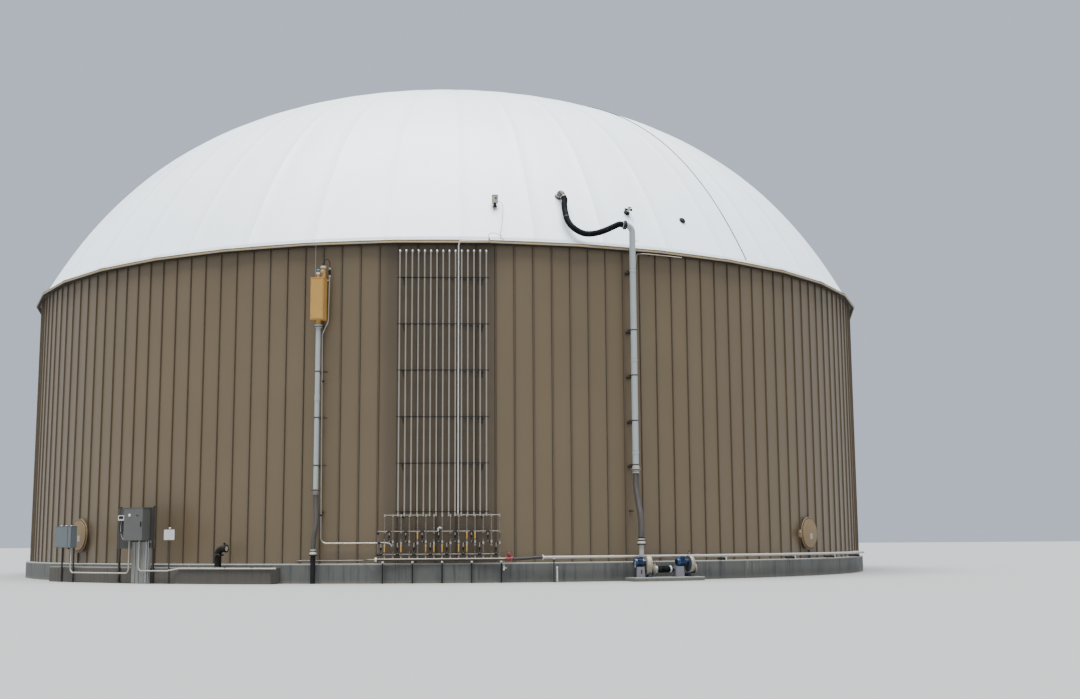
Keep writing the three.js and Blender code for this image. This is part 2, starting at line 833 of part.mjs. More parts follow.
// One leg stands on the ground; further on the pipe lies on arms laid on the foundation's top.
const baseSaddle = (azimuth, height) =>
  box(70, 110, height, 0, -BASE_PIPE_AXIS, BASE_PIPE_HEIGHT + 13 - height / 2).rotateZ(radians(azimuth));
const baseLeg = box(45, 45, BASE_PIPE_HEIGHT + 10, 0, -BASE_PIPE_AXIS, (BASE_PIPE_HEIGHT + 10) / 2);
const armStart = RIB_TIP_RADIUS + 5;
const baseArm = (azimuth) =>
  box(
    BASE_ARM_WIDTH,
    BASE_ARM_TIP - armStart,
    BASE_ARM_DEPTH,
    0,
    -(BASE_ARM_TIP + armStart) / 2,
    WALL_BASE + BASE_ARM_DEPTH / 2,
  ).rotateZ(radians(azimuth));
const baseSupports = [
  baseLeg.rotateZ(radians(BASE_LEG)),
  baseSaddle(BASE_LEG, 26),
  ...BASE_ARMS.flatMap((azimuth) => [baseArm(azimuth), baseSaddle(azimuth, 50)]),
];
const startFlange = rod(
  basePipeStart,
  basePipeStart.clone().addScaledVector(basePipeHeading, 40),
  85,
  12,
);
add(
  'base_pipe',
  cut(
    fuse(basePipe, endElbow, startFlange, ...baseSupports),
    claddingNear(BASE_PIPE_END, 3),
  ),
  PIPE_GREY,
);

const connectorPoints = [
  connectorStart,
  connectorStart.clone().add(rackToWorld(new THREE.Vector3(120, 0, 0))),
  at(7.6, 17310, BASE_PIPE_HEIGHT + 15),
  basePipeStart.clone().addScaledVector(basePipeHeading, -180),
  basePipeStart.clone().addScaledVector(basePipeHeading, -GAP),
];
add('base_connector_hose', hose(connectorPoints, 48, 10), BLACK_IRON);

// Gas line: fitting on the dome, hose, riser, hose and the pipe into the first blower
const GAS_PIPE_RADIUS = 100;
const GAS_AXIS = 17300;
const GAS_AZIMUTH = 19.5;
const GAS_TOP = 11330;
const GAS_ELBOW = 220;
const GAS_RISER_BOTTOM = 3450;
const GAS_BRACKETS = [9860, 7930, 6470, 5020, 3620];
const GAS_HOSE_RADIUS = 98;
const GAS_FITTING_AZIMUTH = 12.55;
const GAS_FITTING_RADIUS = 15930;
const FLANGE_THICKNESS = 40;

// A point off the dome's surface by a distance along its normal.
function offDome(azimuth, radius, away) {
  const normal = domeNormal(radius);
  return at(azimuth, radius + normal.x * away, domeHeight(radius) + normal.y * away);
}

const domeCutter = domeShell(GAP * 1.5, DOME_SHELL, DOME_RIM - 20);
const DOME_DEEP = -45;

function seatOnDome(...geometries) {
  return cut(fuse(...geometries), domeCutter);
}

const fittingOut = offDome(GAS_FITTING_AZIMUTH, GAS_FITTING_RADIUS, 230);
const gasHoseStart = at(12.72, 16230, 12440);
add(
  'gas_dome_fitting',
  seatOnDome(
    rod(
      offDome(GAS_FITTING_AZIMUTH, GAS_FITTING_RADIUS, DOME_DEEP),
      offDome(GAS_FITTING_AZIMUTH, GAS_FITTING_RADIUS, 50),
      140,
      20,
    ),
    pipe(
      [offDome(GAS_FITTING_AZIMUTH, GAS_FITTING_RADIUS, DOME_DEEP), fittingOut, gasHoseStart],
      GAS_HOSE_RADIUS + 2,
      130,
      12,
    ),
  ),
  STAINLESS,
);

const gasCorner = at(GAS_AZIMUTH, GAS_AXIS, GAS_TOP);
const gasElbowEnd = at(18.55, GAS_AXIS - 5, GAS_TOP + 20);
const elbowWay = new THREE.Vector3().subVectors(gasCorner, gasElbowEnd).normalize();
const hoseWay = new THREE.Vector3().subVectors(fittingOut, gasHoseStart).normalize();
const gasHosePoints = [
  gasHoseStart.clone().addScaledVector(hoseWay, -GAP),
  gasHoseStart.clone().addScaledVector(hoseWay, -150),
  at(12.68, 16420, 12100),
  at(12.6, 16620, 11750),
  at(12.77, 16820, 11405),
  at(13.33, 16980, 11165),
  at(14.24, 17080, 11020),
  at(15.27, 17160, 11025),
  at(16.34, 17220, 11125),
  at(17.42, 17270, 11280),
  gasElbowEnd.clone().addScaledVector(elbowWay, -160),
  gasElbowEnd.clone().addScaledVector(elbowWay, -GAP),
];
add('gas_hose_upper', hose(gasHosePoints, GAS_HOSE_RADIUS, 20, 12), BLACK_RUBBER);

const gasPoint = (height, radius = GAS_AXIS) => at(GAS_AZIMUTH, radius, height);
add(
  'gas_riser',
  cut(
    fuse(
      pipe(
        [gasPoint(GAS_RISER_BOTTOM), gasCorner, gasElbowEnd],
        GAS_PIPE_RADIUS,
        GAS_ELBOW,
        16,
        5,
      ),
      rod(
        gasElbowEnd,
        gasElbowEnd.clone().addScaledVector(elbowWay, FLANGE_THICKNESS),
        150,
        16,
      ),
      rod(gasPoint(GAS_RISER_BOTTOM), gasPoint(GAS_RISER_BOTTOM + FLANGE_THICKNESS), 155, 16),
      ...GAS_BRACKETS.map((height) => wallArm(-60, height, GAS_AXIS).rotateZ(radians(GAS_AZIMUTH))),
      ...GAS_BRACKETS.map((height) => wallArm(60, height, GAS_AXIS).rotateZ(radians(GAS_AZIMUTH))),
    ),
    claddingNear(GAS_AZIMUTH, 3),
    eaveRing(GAP),
  ),
  PIPE_GREY,
);

// Blowers on a small pad at the foot of the wall
const BLOWER_AXIS = 17800;
const BLOWER_HEIGHT = 575;
const PAD_TOP = 120;
const PAD = { from: 17.9, to: 25.7, inner: 17430, outer: 18180 };
const MOTOR_RADIUS = 135;
const MOTOR_LENGTH = 410;
const CASING_THICKNESS = 125;
const BLOWERS = [
  {
    name: 'blower_1',
    azimuth: 19.75,
    turn: -16,
    casing: { height: 500, radius: 315, face: -35 },
    base: { along: -222, length: 256 },
  },
  {
    name: 'blower_2',
    azimuth: 24.5,
    turn: -3,
    casing: { height: 510, radius: 290, face: 0 },
    base: { along: -360, length: 294 },
  },
];

add(
  'blower_pad',
  sector(PAD.from, PAD.to, PAD.inner, PAD.outer, GROUND, PAD_TOP, 4),
  CONCRETE,
);

const DUCT_RADIUS = 105;
const DUCT_HEIGHT = 360;
const HUB_RADIUS = 200;
const HUB_LENGTH = 125;
const HUB_DROP = 140;
const line = (along, height, inward = 0) => new THREE.Vector3(along, inward, height);
const stands = {};
const ductEnd = at(22.6, BLOWER_AXIS, DUCT_HEIGHT);

for (const { name, azimuth, turn, casing, base } of BLOWERS) {
  const frame = facing(azimuth);
  const stand = new THREE.Group();
  stand.position.set(0, -BLOWER_AXIS, 0);
  stand.rotation.z = radians(turn);
  frame.add(stand);
  stand.updateWorldMatrix(true, false);
  stands[name] = stand;
  add(
    `${name}_casing`,
    fuse(
      rod(line(casing.face, casing.height), line(CASING_THICKNESS, casing.height), casing.radius, 24),
      rod(
        line(CASING_THICKNESS - 5, casing.height - HUB_DROP),
        line(CASING_THICKNESS + HUB_LENGTH, casing.height - HUB_DROP),
        HUB_RADIUS,
        20,
      ),
      box(110, 400, 110, CASING_THICKNESS / 2, 0, PAD_TOP + GAP + 55),
    ),
    BEIGE_PAINT,
    stand,
  );
  const baseHeight = BLOWER_HEIGHT - MOTOR_RADIUS - PAD_TOP - 2 * GAP;
  const baseBox = box(base.length, 300, baseHeight, base.along, 0, PAD_TOP + GAP + baseHeight / 2);
  const spigotEnd = stand.worldToLocal(ductEnd.clone());
  const spigot = rod(spigotEnd, line(base.along, DUCT_HEIGHT), DUCT_RADIUS - 45, 12);
  add(
    `${name}_base`,
    name === 'blower_2' ? fuse(baseBox, spigot) : baseBox,
    PIPE_GREY,
    stand,
  );
  add(
    `${name}_motor`,
    rod(line(-MOTOR_LENGTH, BLOWER_HEIGHT), line(casing.face - GAP, BLOWER_HEIGHT), MOTOR_RADIUS, 16),
    BLUE_PAINT,
    stand,
  );
}

// The duct runs from the first blower's hub to a spigot on the second one's base.
const ductHeading = new THREE.Vector3(1, 0, 0).transformDirection(stands.blower_1.matrixWorld);
const ductStart = stands.blower_1.localToWorld(
  line(CASING_THICKNESS + HUB_LENGTH + GAP, DUCT_HEIGHT),
);
const spigotWay = new THREE.Vector3()
  .subVectors(stands.blower_2.localToWorld(line(BLOWERS[1].base.along, DUCT_HEIGHT)), ductEnd)
  .normalize();
add(
  'blower_duct',
  hose(
    [
      ductStart,
      ductStart.clone().addScaledVector(ductHeading, 150),
      ductEnd.clone().addScaledVector(spigotWay, -150 - GAP),
      ductEnd.clone().addScaledVector(spigotWay, -GAP),
    ],
    DUCT_RADIUS,
    6,
    12,
  ),
  BLACK_RUBBER,
);

// Inlet pipe into the first blower, and the hose that hangs from the riser to it
const INLET_RADIUS = 75;
const INLET_INWARD = 216;
const INLET_ALONG = -118;
const INLET_BEND = 80;
const INLET_TOP = 1150;
const INLET_HEIGHT = 560;
const inletPoint = (height, along = INLET_ALONG) => line(along, height, INLET_INWARD);
add(
  'gas_inlet_pipe',
  fuse(
    pipe(
      [
        inletPoint(INLET_TOP),
        inletPoint(INLET_HEIGHT),
        inletPoint(INLET_HEIGHT, BLOWERS[0].casing.face - GAP),
      ],
      INLET_RADIUS,
      INLET_BEND,
      12,
    ),
    rod(inletPoint(INLET_TOP - FLANGE_THICKNESS), inletPoint(INLET_TOP), 140, 16),
  ),
  PIPE_GREY,
  stands.blower_1,
);
const inletTop = stands.blower_1.localToWorld(inletPoint(INLET_TOP));
const lowerHosePoints = [
  gasPoint(GAS_RISER_BOTTOM - GAP),
  gasPoint(GAS_RISER_BOTTOM - 180),
  gasPoint(2900, GAS_AXIS + 10),
  at(19.62, GAS_AXIS + 80, 2400),
  at(19.7, GAS_AXIS + 160, 2000),
  at(19.63, GAS_AXIS + 235, 1620),
  inletTop.clone().add(new THREE.Vector3(0, 0, 170)),
  inletTop.clone().add(new THREE.Vector3(0, 0, GAP)),
];
add('gas_hose_lower', hose(lowerHosePoints, 97, 14, 12), HOSE_GREY);

// Small fittings on the dome
add(
  'sampling_valve',
  seatOnDome(
    rod(offDome(20.81, 16200, DOME_DEEP), offDome(20.81, 16200, 45), 105, 12),
    rod(offDome(20.81, 16200, 30), offDome(20.81, 16200, 270), 48, 10),
    rod(
      offDome(20.81, 16200, 160).add(new THREE.Vector3(-120, -40, 0)),
      offDome(20.81, 16200, 160).add(new THREE.Vector3(120, 40, 0)),
      40,
      8,
    ),
  ),
  BLACK_IRON,
);
add(
  'dome_port',
  seatOnDome(rod(offDome(28.63, 16220, DOME_DEEP), offDome(28.63, 16220, 70), 115, 16)),
  BLACK_IRON,
);
add(
  'level_sensor_box',
  seatOnDome(
    box(200, 220, 280, 0, -16220 - 90, domeHeight(16220) + 30).rotateZ(radians(4.69)),
  ),
  CABINET_GREY,
);

const CABLE_RADIUS = 14;
const CABLE_INNER_END = 8800;
const cableCorners = domeProfile(CABLE_RADIUS + 2 * GAP)
  .filter((point) => point.x > CABLE_INNER_END)
  .map((point) => at(DOME_SEAM_AZIMUTH, point.x, point.y));
add('dome_cable', pipe(cableCorners, CABLE_RADIUS, 60, 6, 1), BLACK_RUBBER);

// Service kerb: a raised concrete bench along the foundation on the left
const KERB = { from: -50, to: -18, front: 17800, top: 500, facets: 12 };

function kerb(grow = 0) {
  const back = FOUNDATION_RADIUS - 100;
  return sector(KERB.from, KERB.to, back, KERB.front + grow, GROUND - grow, KERB.top + grow, KERB.facets);
}

add('service_kerb', cut(kerb(), foundation(GAP)), CONCRETE);

// A post or stand in its own frame, its back cut flush with the kerb's front.
function seatOnKerb(geometry, azimuth) {
  return cut(geometry, kerb(GAP).rotateZ(-radians(azimuth)));
}

// Breather pipe on the kerb, ending in an elbow with an open mouth
const BREATHER_AZIMUTH = -24.6;
const BREATHER_AXIS = 17450;
const BREATHER_RADIUS = 105;
const breatherFrame = facing(BREATHER_AZIMUTH);
const breatherPoint = (height, across = 0) => new THREE.Vector3(across, -BREATHER_AXIS, height);
add(
  'breather_pipe',
  cut(
    fuse(
      pipe(
        [
          breatherPoint(KERB.top + GAP),
          breatherPoint(1060),
          breatherPoint(1080, 300),
        ],
        BREATHER_RADIUS,
        170,
        12,
      ),
      rod(breatherPoint(860), breatherPoint(900), 175, 16),
    ),
    rod(breatherPoint(1079, 130), breatherPoint(1081, 320), BREATHER_RADIUS - 15, 12),
  ),
  BLACK_IRON,
  breatherFrame,
);

// Control panel on two posts that are bolted to the kerb's front
const PANEL_AZIMUTH = -34.17;
const POST_SECTION = 60;
const POST_AXIS = KERB.front + 15;
const panelFrame = facing(PANEL_AZIMUTH);
const BACKPLATE = { width: 1680, low: 1080, high: 2390, thickness: 12 };
const backplateBack = POST_AXIS + POST_SECTION / 2;
const CABINET = { across: 180, width: 850, depth: 320, low: 1340, high: 2370 };
const cabinetBack = backplateBack + BACKPLATE.thickness + GAP;
const CHANNEL = { across: 280, width: 800, depth: 70 };

add(
  'panel_stand',
  seatOnKerb(
    fuse(
      ...[-750, 750].map((across) =>
        box(POST_SECTION, POST_SECTION, BACKPLATE.high, across, -POST_AXIS, BACKPLATE.high / 2)),
      box(
        BACKPLATE.width,
        BACKPLATE.thickness + 5,
        BACKPLATE.high - BACKPLATE.low,
        0,
        -backplateBack - BACKPLATE.thickness / 2 + 2.5,
        (BACKPLATE.high + BACKPLATE.low) / 2,
      ),
      box(
        CHANNEL.width,
        CHANNEL.depth,
        CABINET.low - GAP,
        CHANNEL.across,
        -backplateBack - CHANNEL.depth / 2 - 5,
        (CABINET.low - GAP) / 2,
      ),
    ),
    PANEL_AZIMUTH,
  ),
  STRUT,
  panelFrame,
);
add(
  'control_cabinet',
  box(
    CABINET.width,
    CABINET.depth,
    CABINET.high - CABINET.low,
    CABINET.across,
    -cabinetBack - CABINET.depth / 2,
    (CABINET.high + CABINET.low) / 2,
  ),
  STAINLESS,
  panelFrame,
);
add(
  'meter_box',
  box(300, 140, 170, -560, -cabinetBack - 70, 2060),
  WHITE_PLASTIC,
  panelFrame,
);

// Junction box on two posts and two rails at the left end
const JUNCTION_AZIMUTH = -45.1;
const JUNCTION = { across: -150, width: 1040, depth: 225, low: 1120, high: 1835 };
const JUNCTION_POST_TOP = JUNCTION.high - 60;
const RAIL = { length: 900, depth: 30, height: 50, inset: 120 };
const railFront = POST_AXIS + POST_SECTION / 2 + 10;
const junctionFrame = facing(JUNCTION_AZIMUTH);
const junctionBack = railFront + GAP;
add(
  'junction_stand',
  seatOnKerb(
    fuse(
      ...[-560, 160].map((across) =>
        box(POST_SECTION, POST_SECTION, JUNCTION_POST_TOP, across, -POST_AXIS, JUNCTION_POST_TOP / 2)),
      ...[JUNCTION.low + RAIL.inset, JUNCTION.high - RAIL.inset].map((height) =>
        box(RAIL.length, RAIL.depth, RAIL.height, JUNCTION.across, -railFront + RAIL.depth / 2, height)),
    ),
    JUNCTION_AZIMUTH,
  ),
  STRUT,
  junctionFrame,
);
add(
  'junction_box',
  box(
    JUNCTION.width,
    JUNCTION.depth,
    JUNCTION.high - JUNCTION.low,
    JUNCTION.across,
    -junctionBack - JUNCTION.depth / 2,
    (JUNCTION.high + JUNCTION.low) / 2,
  ),
  CABINET_GREY,
  junctionFrame,
);

// Conduits between the boxes and along the kerb
const SERVICE_RADIUS = 23;
const SERVICE_AXIS = 17980;
const LOW_RUN = 320;
const KERB_RUN_AXIS = KERB.front + 32;
add(
  'conduit_left',
  pipe(
    [
      at(-44.3, SERVICE_AXIS, JUNCTION.low - GAP),
      at(-44.3, SERVICE_AXIS, LOW_RUN),
      at(-34.7, SERVICE_AXIS, LOW_RUN),
      at(-34.7, SERVICE_AXIS, CABINET.low - GAP),
    ],
    SERVICE_RADIUS,
    140,
    6,
    3,
  ),
  WHITE_PLASTIC,
);
const kerbRun = (from, to, height, steps) =>
  Array.from({ length: steps + 1 }, (unused, k) =>
    at(from + ((to - from) * k) / steps, KERB_RUN_AXIS, height));
add(
  'conduit_right',
  pipe(
    [
      at(-33.3, SERVICE_AXIS, CABINET.low - GAP),
      at(-33.3, SERVICE_AXIS, 400),
      at(-29.6, SERVICE_AXIS - 20, 400),
      ...kerbRun(-28.4, -17.4, 470, 6),
    ],
    SERVICE_RADIUS,
    110,
    6,
    2,
  ),
  WHITE_PLASTIC,
);

// Small bare plate on a post at the kerb
const PLATE_AZIMUTH = -29.72;
const PLATE_POST_AXIS = KERB.front + 18;
add(
  'post_plate',
  seatOnKerb(
    fuse(
      rod(
        new THREE.Vector3(0, -PLATE_POST_AXIS, GROUND),
        new THREE.Vector3(0, -PLATE_POST_AXIS, 1720),
        24,
        10,
      ),
      box(420, 8, 320, 0, -PLATE_POST_AXIS - 24, 1515),
    ),
    PLATE_AZIMUTH,
  ),
  CABINET_GREY,
  facing(PLATE_AZIMUTH),
);

export default digester;
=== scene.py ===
import json
import math

import bmesh
import bpy
from mathutils import Matrix, Vector

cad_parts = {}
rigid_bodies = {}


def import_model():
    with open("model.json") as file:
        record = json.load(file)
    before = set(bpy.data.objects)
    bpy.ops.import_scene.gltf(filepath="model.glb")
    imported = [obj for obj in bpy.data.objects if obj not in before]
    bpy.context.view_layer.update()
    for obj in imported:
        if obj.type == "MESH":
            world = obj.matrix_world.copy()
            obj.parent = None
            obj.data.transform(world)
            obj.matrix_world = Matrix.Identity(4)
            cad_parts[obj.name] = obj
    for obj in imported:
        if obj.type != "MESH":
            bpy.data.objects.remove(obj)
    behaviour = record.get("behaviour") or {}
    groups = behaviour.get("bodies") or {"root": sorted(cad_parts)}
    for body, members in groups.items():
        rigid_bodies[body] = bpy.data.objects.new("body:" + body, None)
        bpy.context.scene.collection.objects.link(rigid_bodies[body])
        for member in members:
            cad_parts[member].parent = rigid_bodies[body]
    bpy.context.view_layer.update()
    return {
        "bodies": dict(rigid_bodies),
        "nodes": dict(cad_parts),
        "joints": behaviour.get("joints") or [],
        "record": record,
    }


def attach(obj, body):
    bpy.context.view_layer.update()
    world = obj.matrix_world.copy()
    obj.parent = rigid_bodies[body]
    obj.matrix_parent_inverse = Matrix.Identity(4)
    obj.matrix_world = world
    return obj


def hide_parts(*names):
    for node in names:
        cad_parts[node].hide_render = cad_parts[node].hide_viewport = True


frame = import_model()

# Camera: at eye height, 42 m from the tank's wall, level but for a slight look upwards and to the
# right. The frame's Z is the tank's axis and the lowest ground is z = 0.
EYE = Vector((0, -59.245, 1.249))
PITCH = math.radians(7.992)
YAW = math.radians(3.682)
ROLL = -0.00626
LENS = 45.475
SENSOR_WIDTH = 36
FAR = 600

ahead = Vector((math.sin(YAW) * math.cos(PITCH), math.cos(YAW) * math.cos(PITCH), math.sin(PITCH)))
level_right = Vector((math.cos(YAW), -math.sin(YAW), 0))
camera_right = math.cos(ROLL) * level_right + math.sin(ROLL) * level_right.cross(ahead)
camera_up = camera_right.cross(ahead)
camera = bpy.data.objects.new("camera", bpy.data.cameras.new("camera"))
camera_turn = Matrix((camera_right, camera_up, -ahead)).transposed().to_4x4()
camera.matrix_world = Matrix.Translation(EYE) @ camera_turn
camera.data.sensor_width = SENSOR_WIDTH
camera.data.lens = LENS
camera.data.clip_end = FAR
bpy.context.scene.collection.objects.link(camera)
bpy.context.scene.camera = camera

# Connector hose between the gate valve and the pipe that follows the wall: a short black rubber
# hose with a woven cover, clamped on two spigots.
RACK = -1.05
RACK_AXIS = 17.165
GATE_END = 2.1403
MAIN_HEIGHT = 0.715
HOSE_RADIUS = 0.047
BASE_AXIS = 17.35
BASE_HEIGHT = 0.755
BASE_START = 9.1
CONNECTOR_SIDES = 20
GAP = 0.0003


def at(azimuth, radius, height, across=0.0):
    """A place round the tank: azimuth 0 faces -Y and grows towards +X, across is a level step right."""
    a = math.radians(azimuth)
    outwards = Vector((math.sin(a), -math.cos(a), 0))
    sideways = Vector((math.cos(a), math.sin(a), 0))
    return radius * outwards + across * sideways + Vector((0, 0, height))


def group(name, kind, sockets_in, sockets_out):
    tree = bpy.data.node_groups.new(name, kind)
    for label, socket, value in sockets_in:
        made = tree.interface.new_socket(label, in_out="INPUT", socket_type="NodeSocket" + socket)
        if value is not None:
            made.default_value = value
    for label, socket in sockets_out:
        tree.interface.new_socket(label, in_out="OUTPUT", socket_type="NodeSocket" + socket)
    return tree, tree.nodes.new("NodeGroupInput").outputs, tree.nodes.new("NodeGroupOutput").inputs


def feed(tree, socket, value):
    if isinstance(value, bpy.types.NodeSocket):
        tree.links.new(value, socket)
    elif value is not None:
        socket.default_value = value


def calc(tree, operation, *values):
    node = tree.nodes.new("ShaderNodeMath")
    node.operation = operation
    for socket, value in zip(node.inputs, values):
        feed(tree, socket, value)
    return node.outputs[0]


def vector_calc(tree, operation, *values, out=0):
    node = tree.nodes.new("ShaderNodeVectorMath")
    node.operation = operation
    for socket, value in zip([s for s in node.inputs if s.enabled], values):
        feed(tree, socket, value)
    return node.outputs[out]


def noise(tree, where, scale, detail=3.0, rough=0.55):
    node = tree.nodes.new("ShaderNodeTexNoise")
    feed(tree, node.inputs["Vector"], where)
    feed(tree, node.inputs["Scale"], scale)
    node.inputs["Detail"].default_value = detail
    node.inputs["Roughness"].default_value = rough
    return node.outputs["Fac"]


def between(tree, value, low, high, to_low=0.0, to_high=1.0):
    node = tree.nodes.new("ShaderNodeMapRange")
    node.interpolation_type = "SMOOTHSTEP"
    labels = ("Value", "From Min", "From Max", "To Min", "To Max")
    for label, amount in zip(labels, (value, low, high, to_low, to_high)):
        feed(tree, node.inputs[label], amount)
    return node.outputs["Result"]


def blend(tree, share, first, second):
    node = tree.nodes.new("ShaderNodeMix")
    node.data_type = "RGBA"
    for socket, value in zip((node.inputs[0], *node.inputs[6:8]), (share, first, second)):
        feed(tree, socket, value)
    return node.outputs[2]


# The weather group gives a base colour its patches, run-off streaks and fine grain.
weather, given, gives = group(
    "weather",
    "ShaderNodeTree",
    [
        ("Where", "Vector", None),
        ("Colour", "Color", (0.5, 0.5, 0.5, 1)),
        ("Patch size", "Float", 1.0),
        ("Patch depth", "Float", 0.1),
        ("Stain", "Color", (0.1, 0.09, 0.08, 1)),
        ("Stain share", "Float", 0.2),
        ("Streak width", "Float", 0.1),
        ("Grain size", "Float", 0.004),
        ("Roughness", "Float", 0.5),
    ],
    [("Colour", "Color"), ("Roughness", "Float"), ("Height", "Float")],
)
patch = noise(weather, given["Where"], calc(weather, "DIVIDE", 1.0, given["Patch size"]), 4.0)
patch_light = calc(
    weather, "MULTIPLY_ADD", calc(weather, "SUBTRACT", patch, 0.5), given["Patch depth"], 1.0
)
patchy = vector_calc(weather, "SCALE", given["Colour"])
weather.links.new(patch_light, patchy.node.inputs["Scale"])
run_off = vector_calc(weather, "MULTIPLY", given["Where"], (1.0, 1.0, 0.07))
streak = noise(weather, run_off, calc(weather, "DIVIDE", 1.0, given["Streak width"]), 5.0, 0.65)
stained = calc(weather, "MULTIPLY", between(weather, streak, 0.46, 0.74), given["Stain share"])
grain = noise(weather, given["Where"], calc(weather, "DIVIDE", 1.0, given["Grain size"]), 2.0)
feed(weather, gives["Colour"], blend(weather, stained, patchy, given["Stain"]))
worn = calc(weather, "MULTIPLY_ADD", calc(weather, "SUBTRACT", patch, 0.5), 0.3, given["Roughness"])
feed(weather, gives["Roughness"], calc(weather, "MULTIPLY_ADD", stained, 0.2, worn))
feed(weather, gives["Height"], grain)


def use(material, tree, **values):
    """Places a shared shader group in a material with its own values."""
    node = material.node_tree.nodes.new("ShaderNodeGroup")
    node.node_tree = tree
    for label, value in values.items():
        feed(material.node_tree, node.inputs[label.replace("_", " ")], value)
    return node.outputs


def finish(name, colour, roughness, metallic=0.0, bump=0.0, bump_depth=0.001, **weathering):
    """A painted, cast or moulded surface: a Principled shader fed by the weather group."""
    material = bpy.data.materials.new(name)
    material.use_nodes = True
    tree = material.node_tree
    shader = tree.nodes["Principled BSDF"]
    shader.inputs["Metallic"].default_value = metallic
    here = tree.nodes.new("ShaderNodeTexCoord").outputs["Object"]
    coat = use(material, weather, Where=here, Colour=(*colour, 1), Roughness=roughness, **weathering)
    tree.links.new(coat["Colour"], shader.inputs["Base Color"])
    tree.links.new(coat["Roughness"], shader.inputs["Roughness"])
    rough_skin = tree.nodes.new("ShaderNodeBump")
    rough_skin.inputs["Strength"].default_value = bump
    rough_skin.inputs["Distance"].default_value = bump_depth
    tree.links.new(coat["Height"], rough_skin.inputs["Height"])
    tree.links.new(rough_skin.outputs["Normal"], shader.inputs["Normal"])
    return material


class Piece:
    """A piece built face by face in its own frame, each face with its finish, then set in its place."""

    def __init__(self, frame=None):
        self.shape = bmesh.new()
        self.frame = frame or Matrix.Identity(4)
        self.finishes = []

    def paint(self, faces, finish):
        if finish not in self.finishes:
            self.finishes.append(finish)
        for face in faces:
            face.material_index = self.finishes.index(finish)

    def loft(self, rings, finish, closed=True):
        """Skins a row of rings of points; a ring of one point is a tip."""
        made = [[self.shape.verts.new(point) for point in ring] for ring in rings]
        faces = []
        for low, high in zip(made, made[1:]):
            for k in range(max(len(low), len(high))):
                corners = [low[k % len(low)], low[(k + 1) % len(low)]]
                corners += [high[(k + 1) % len(high)], high[k % len(high)]]
                faces.append(self.shape.faces.new(list(dict.fromkeys(corners))))
        if closed:
            faces += [self.shape.faces.new(ring) for ring in (made[0], made[-1]) if len(ring) > 2]
        self.paint(faces, finish)

    def tube(self, line, radius, finish, sides=12):
        """A round pipe or bar along a line of points; radius may be one value for each point."""
        radii = radius if isinstance(radius, list) else [radius] * len(line)
        last = len(line) - 1
        ways = [(line[min(k + 1, last)] - line[max(k - 1, 0)]).normalized() for k in range(last + 1)]
        side = ways[0].orthogonal().normalized()
        rings = []
        for point, way, size in zip(line, ways, radii):
            side = (side - way * side.dot(way)).normalized()
            other = way.cross(side)
            turns = [2 * math.pi * k / sides for k in range(sides)]
            rings.append([point + size * (math.cos(t) * side + math.sin(t) * other) for t in turns])
        self.loft(rings, finish)

    def turned(self, start, way, profile, finish, sides=24):
        """A turned part: its profile is a list of (distance along the way, radius)."""
        way = way.normalized()
        side = way.orthogonal().normalized()
        other = way.cross(side)
        rings = []
        for along, size in profile:
            turns = [2 * math.pi * k / sides for k in range(sides if size > 0 else 1)]
            middle = start + along * way
            rings.append([middle + size * (math.cos(t) * side + math.sin(t) * other) for t in turns])
        self.loft(rings, finish)

    def disc(self, start, way, radius, length, finish, sides=24):
        """A plain round disc or collar."""
        self.turned(start, way, [(0, radius), (length, radius)], finish, sides)

    def hoop(self, centre, way, radius, thickness, finish, sides=24, section=8):
        """A round ring of round bar, such as a handwheel's rim."""
        side = way.orthogonal().normalized()
        other = way.cross(side)
        made = []
        for k in range(sides):
            t = 2 * math.pi * k / sides
            spoke = math.cos(t) * side + math.sin(t) * other
            turns = [2 * math.pi * s / section for s in range(section)]
            ring = [
                centre + (radius + thickness * math.cos(s)) * spoke + thickness * math.sin(s) * way
                for s in turns
            ]
            made.append([self.shape.verts.new(point) for point in ring])
        faces = []
        for low, high in zip(made, made[1:] + made[:1]):
            for k in range(section):
                faces.append(self.shape.faces.new((low[k], low[k - 1], high[k - 1], high[k])))
        self.paint(faces, finish)

    def block(self, size, centre, finish, edge=0.003, turn=None):
        """A box with its edges eased."""
        made = bmesh.ops.create_cube(self.shape, size=1, matrix=Matrix.Diagonal((*size, 1)))["verts"]
        if edge:
            edges = list({e for v in made for e in v.link_edges})
            eased = bmesh.ops.bevel(self.shape, geom=edges, offset=edge, segments=2, affect="EDGES")
            made = list({v for v in eased["verts"]} | {v for v in made if v.is_valid})
        whole = Matrix.Translation(centre) @ (turn or Matrix.Identity(4))
        bmesh.ops.transform(self.shape, matrix=whole, verts=made)
        self.paint({f for v in made for f in v.link_faces}, finish)

    def add(self, mesh, finish, place=None):
        """Takes in a mesh that was set out by nodes."""
        known = len(self.shape.verts)
        self.shape.from_mesh(mesh)
        self.shape.verts.ensure_lookup_table()
        fresh = self.shape.verts[known:]
        bmesh.ops.transform(self.shape, matrix=place or Matrix.Identity(4), verts=fresh)
        self.paint({f for v in fresh for f in v.link_faces}, finish)
        bpy.data.meshes.remove(mesh)

    def done(self, name, smooth=35):
        bmesh.ops.recalc_face_normals(self.shape, faces=self.shape.faces)
        self.shape.transform(self.frame)
        mesh = bpy.data.meshes.new(name)
        self.shape.to_mesh(mesh)
        self.shape.free()
        for material in self.finishes:
            mesh.materials.append(material)
        mesh.shade_smooth()
        mesh.set_sharp_from_angle(angle=math.radians(smooth))
        piece = bpy.data.objects.new(name, mesh)
        bpy.context.scene.collection.objects.link(piece)
        return piece


def fit(piece, slot, *nodes):
    """The piece rides on the tank and stands for CAD nodes, which it hides; its slot is not used."""
    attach(piece, "root")
    if nodes:
        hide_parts(*nodes)


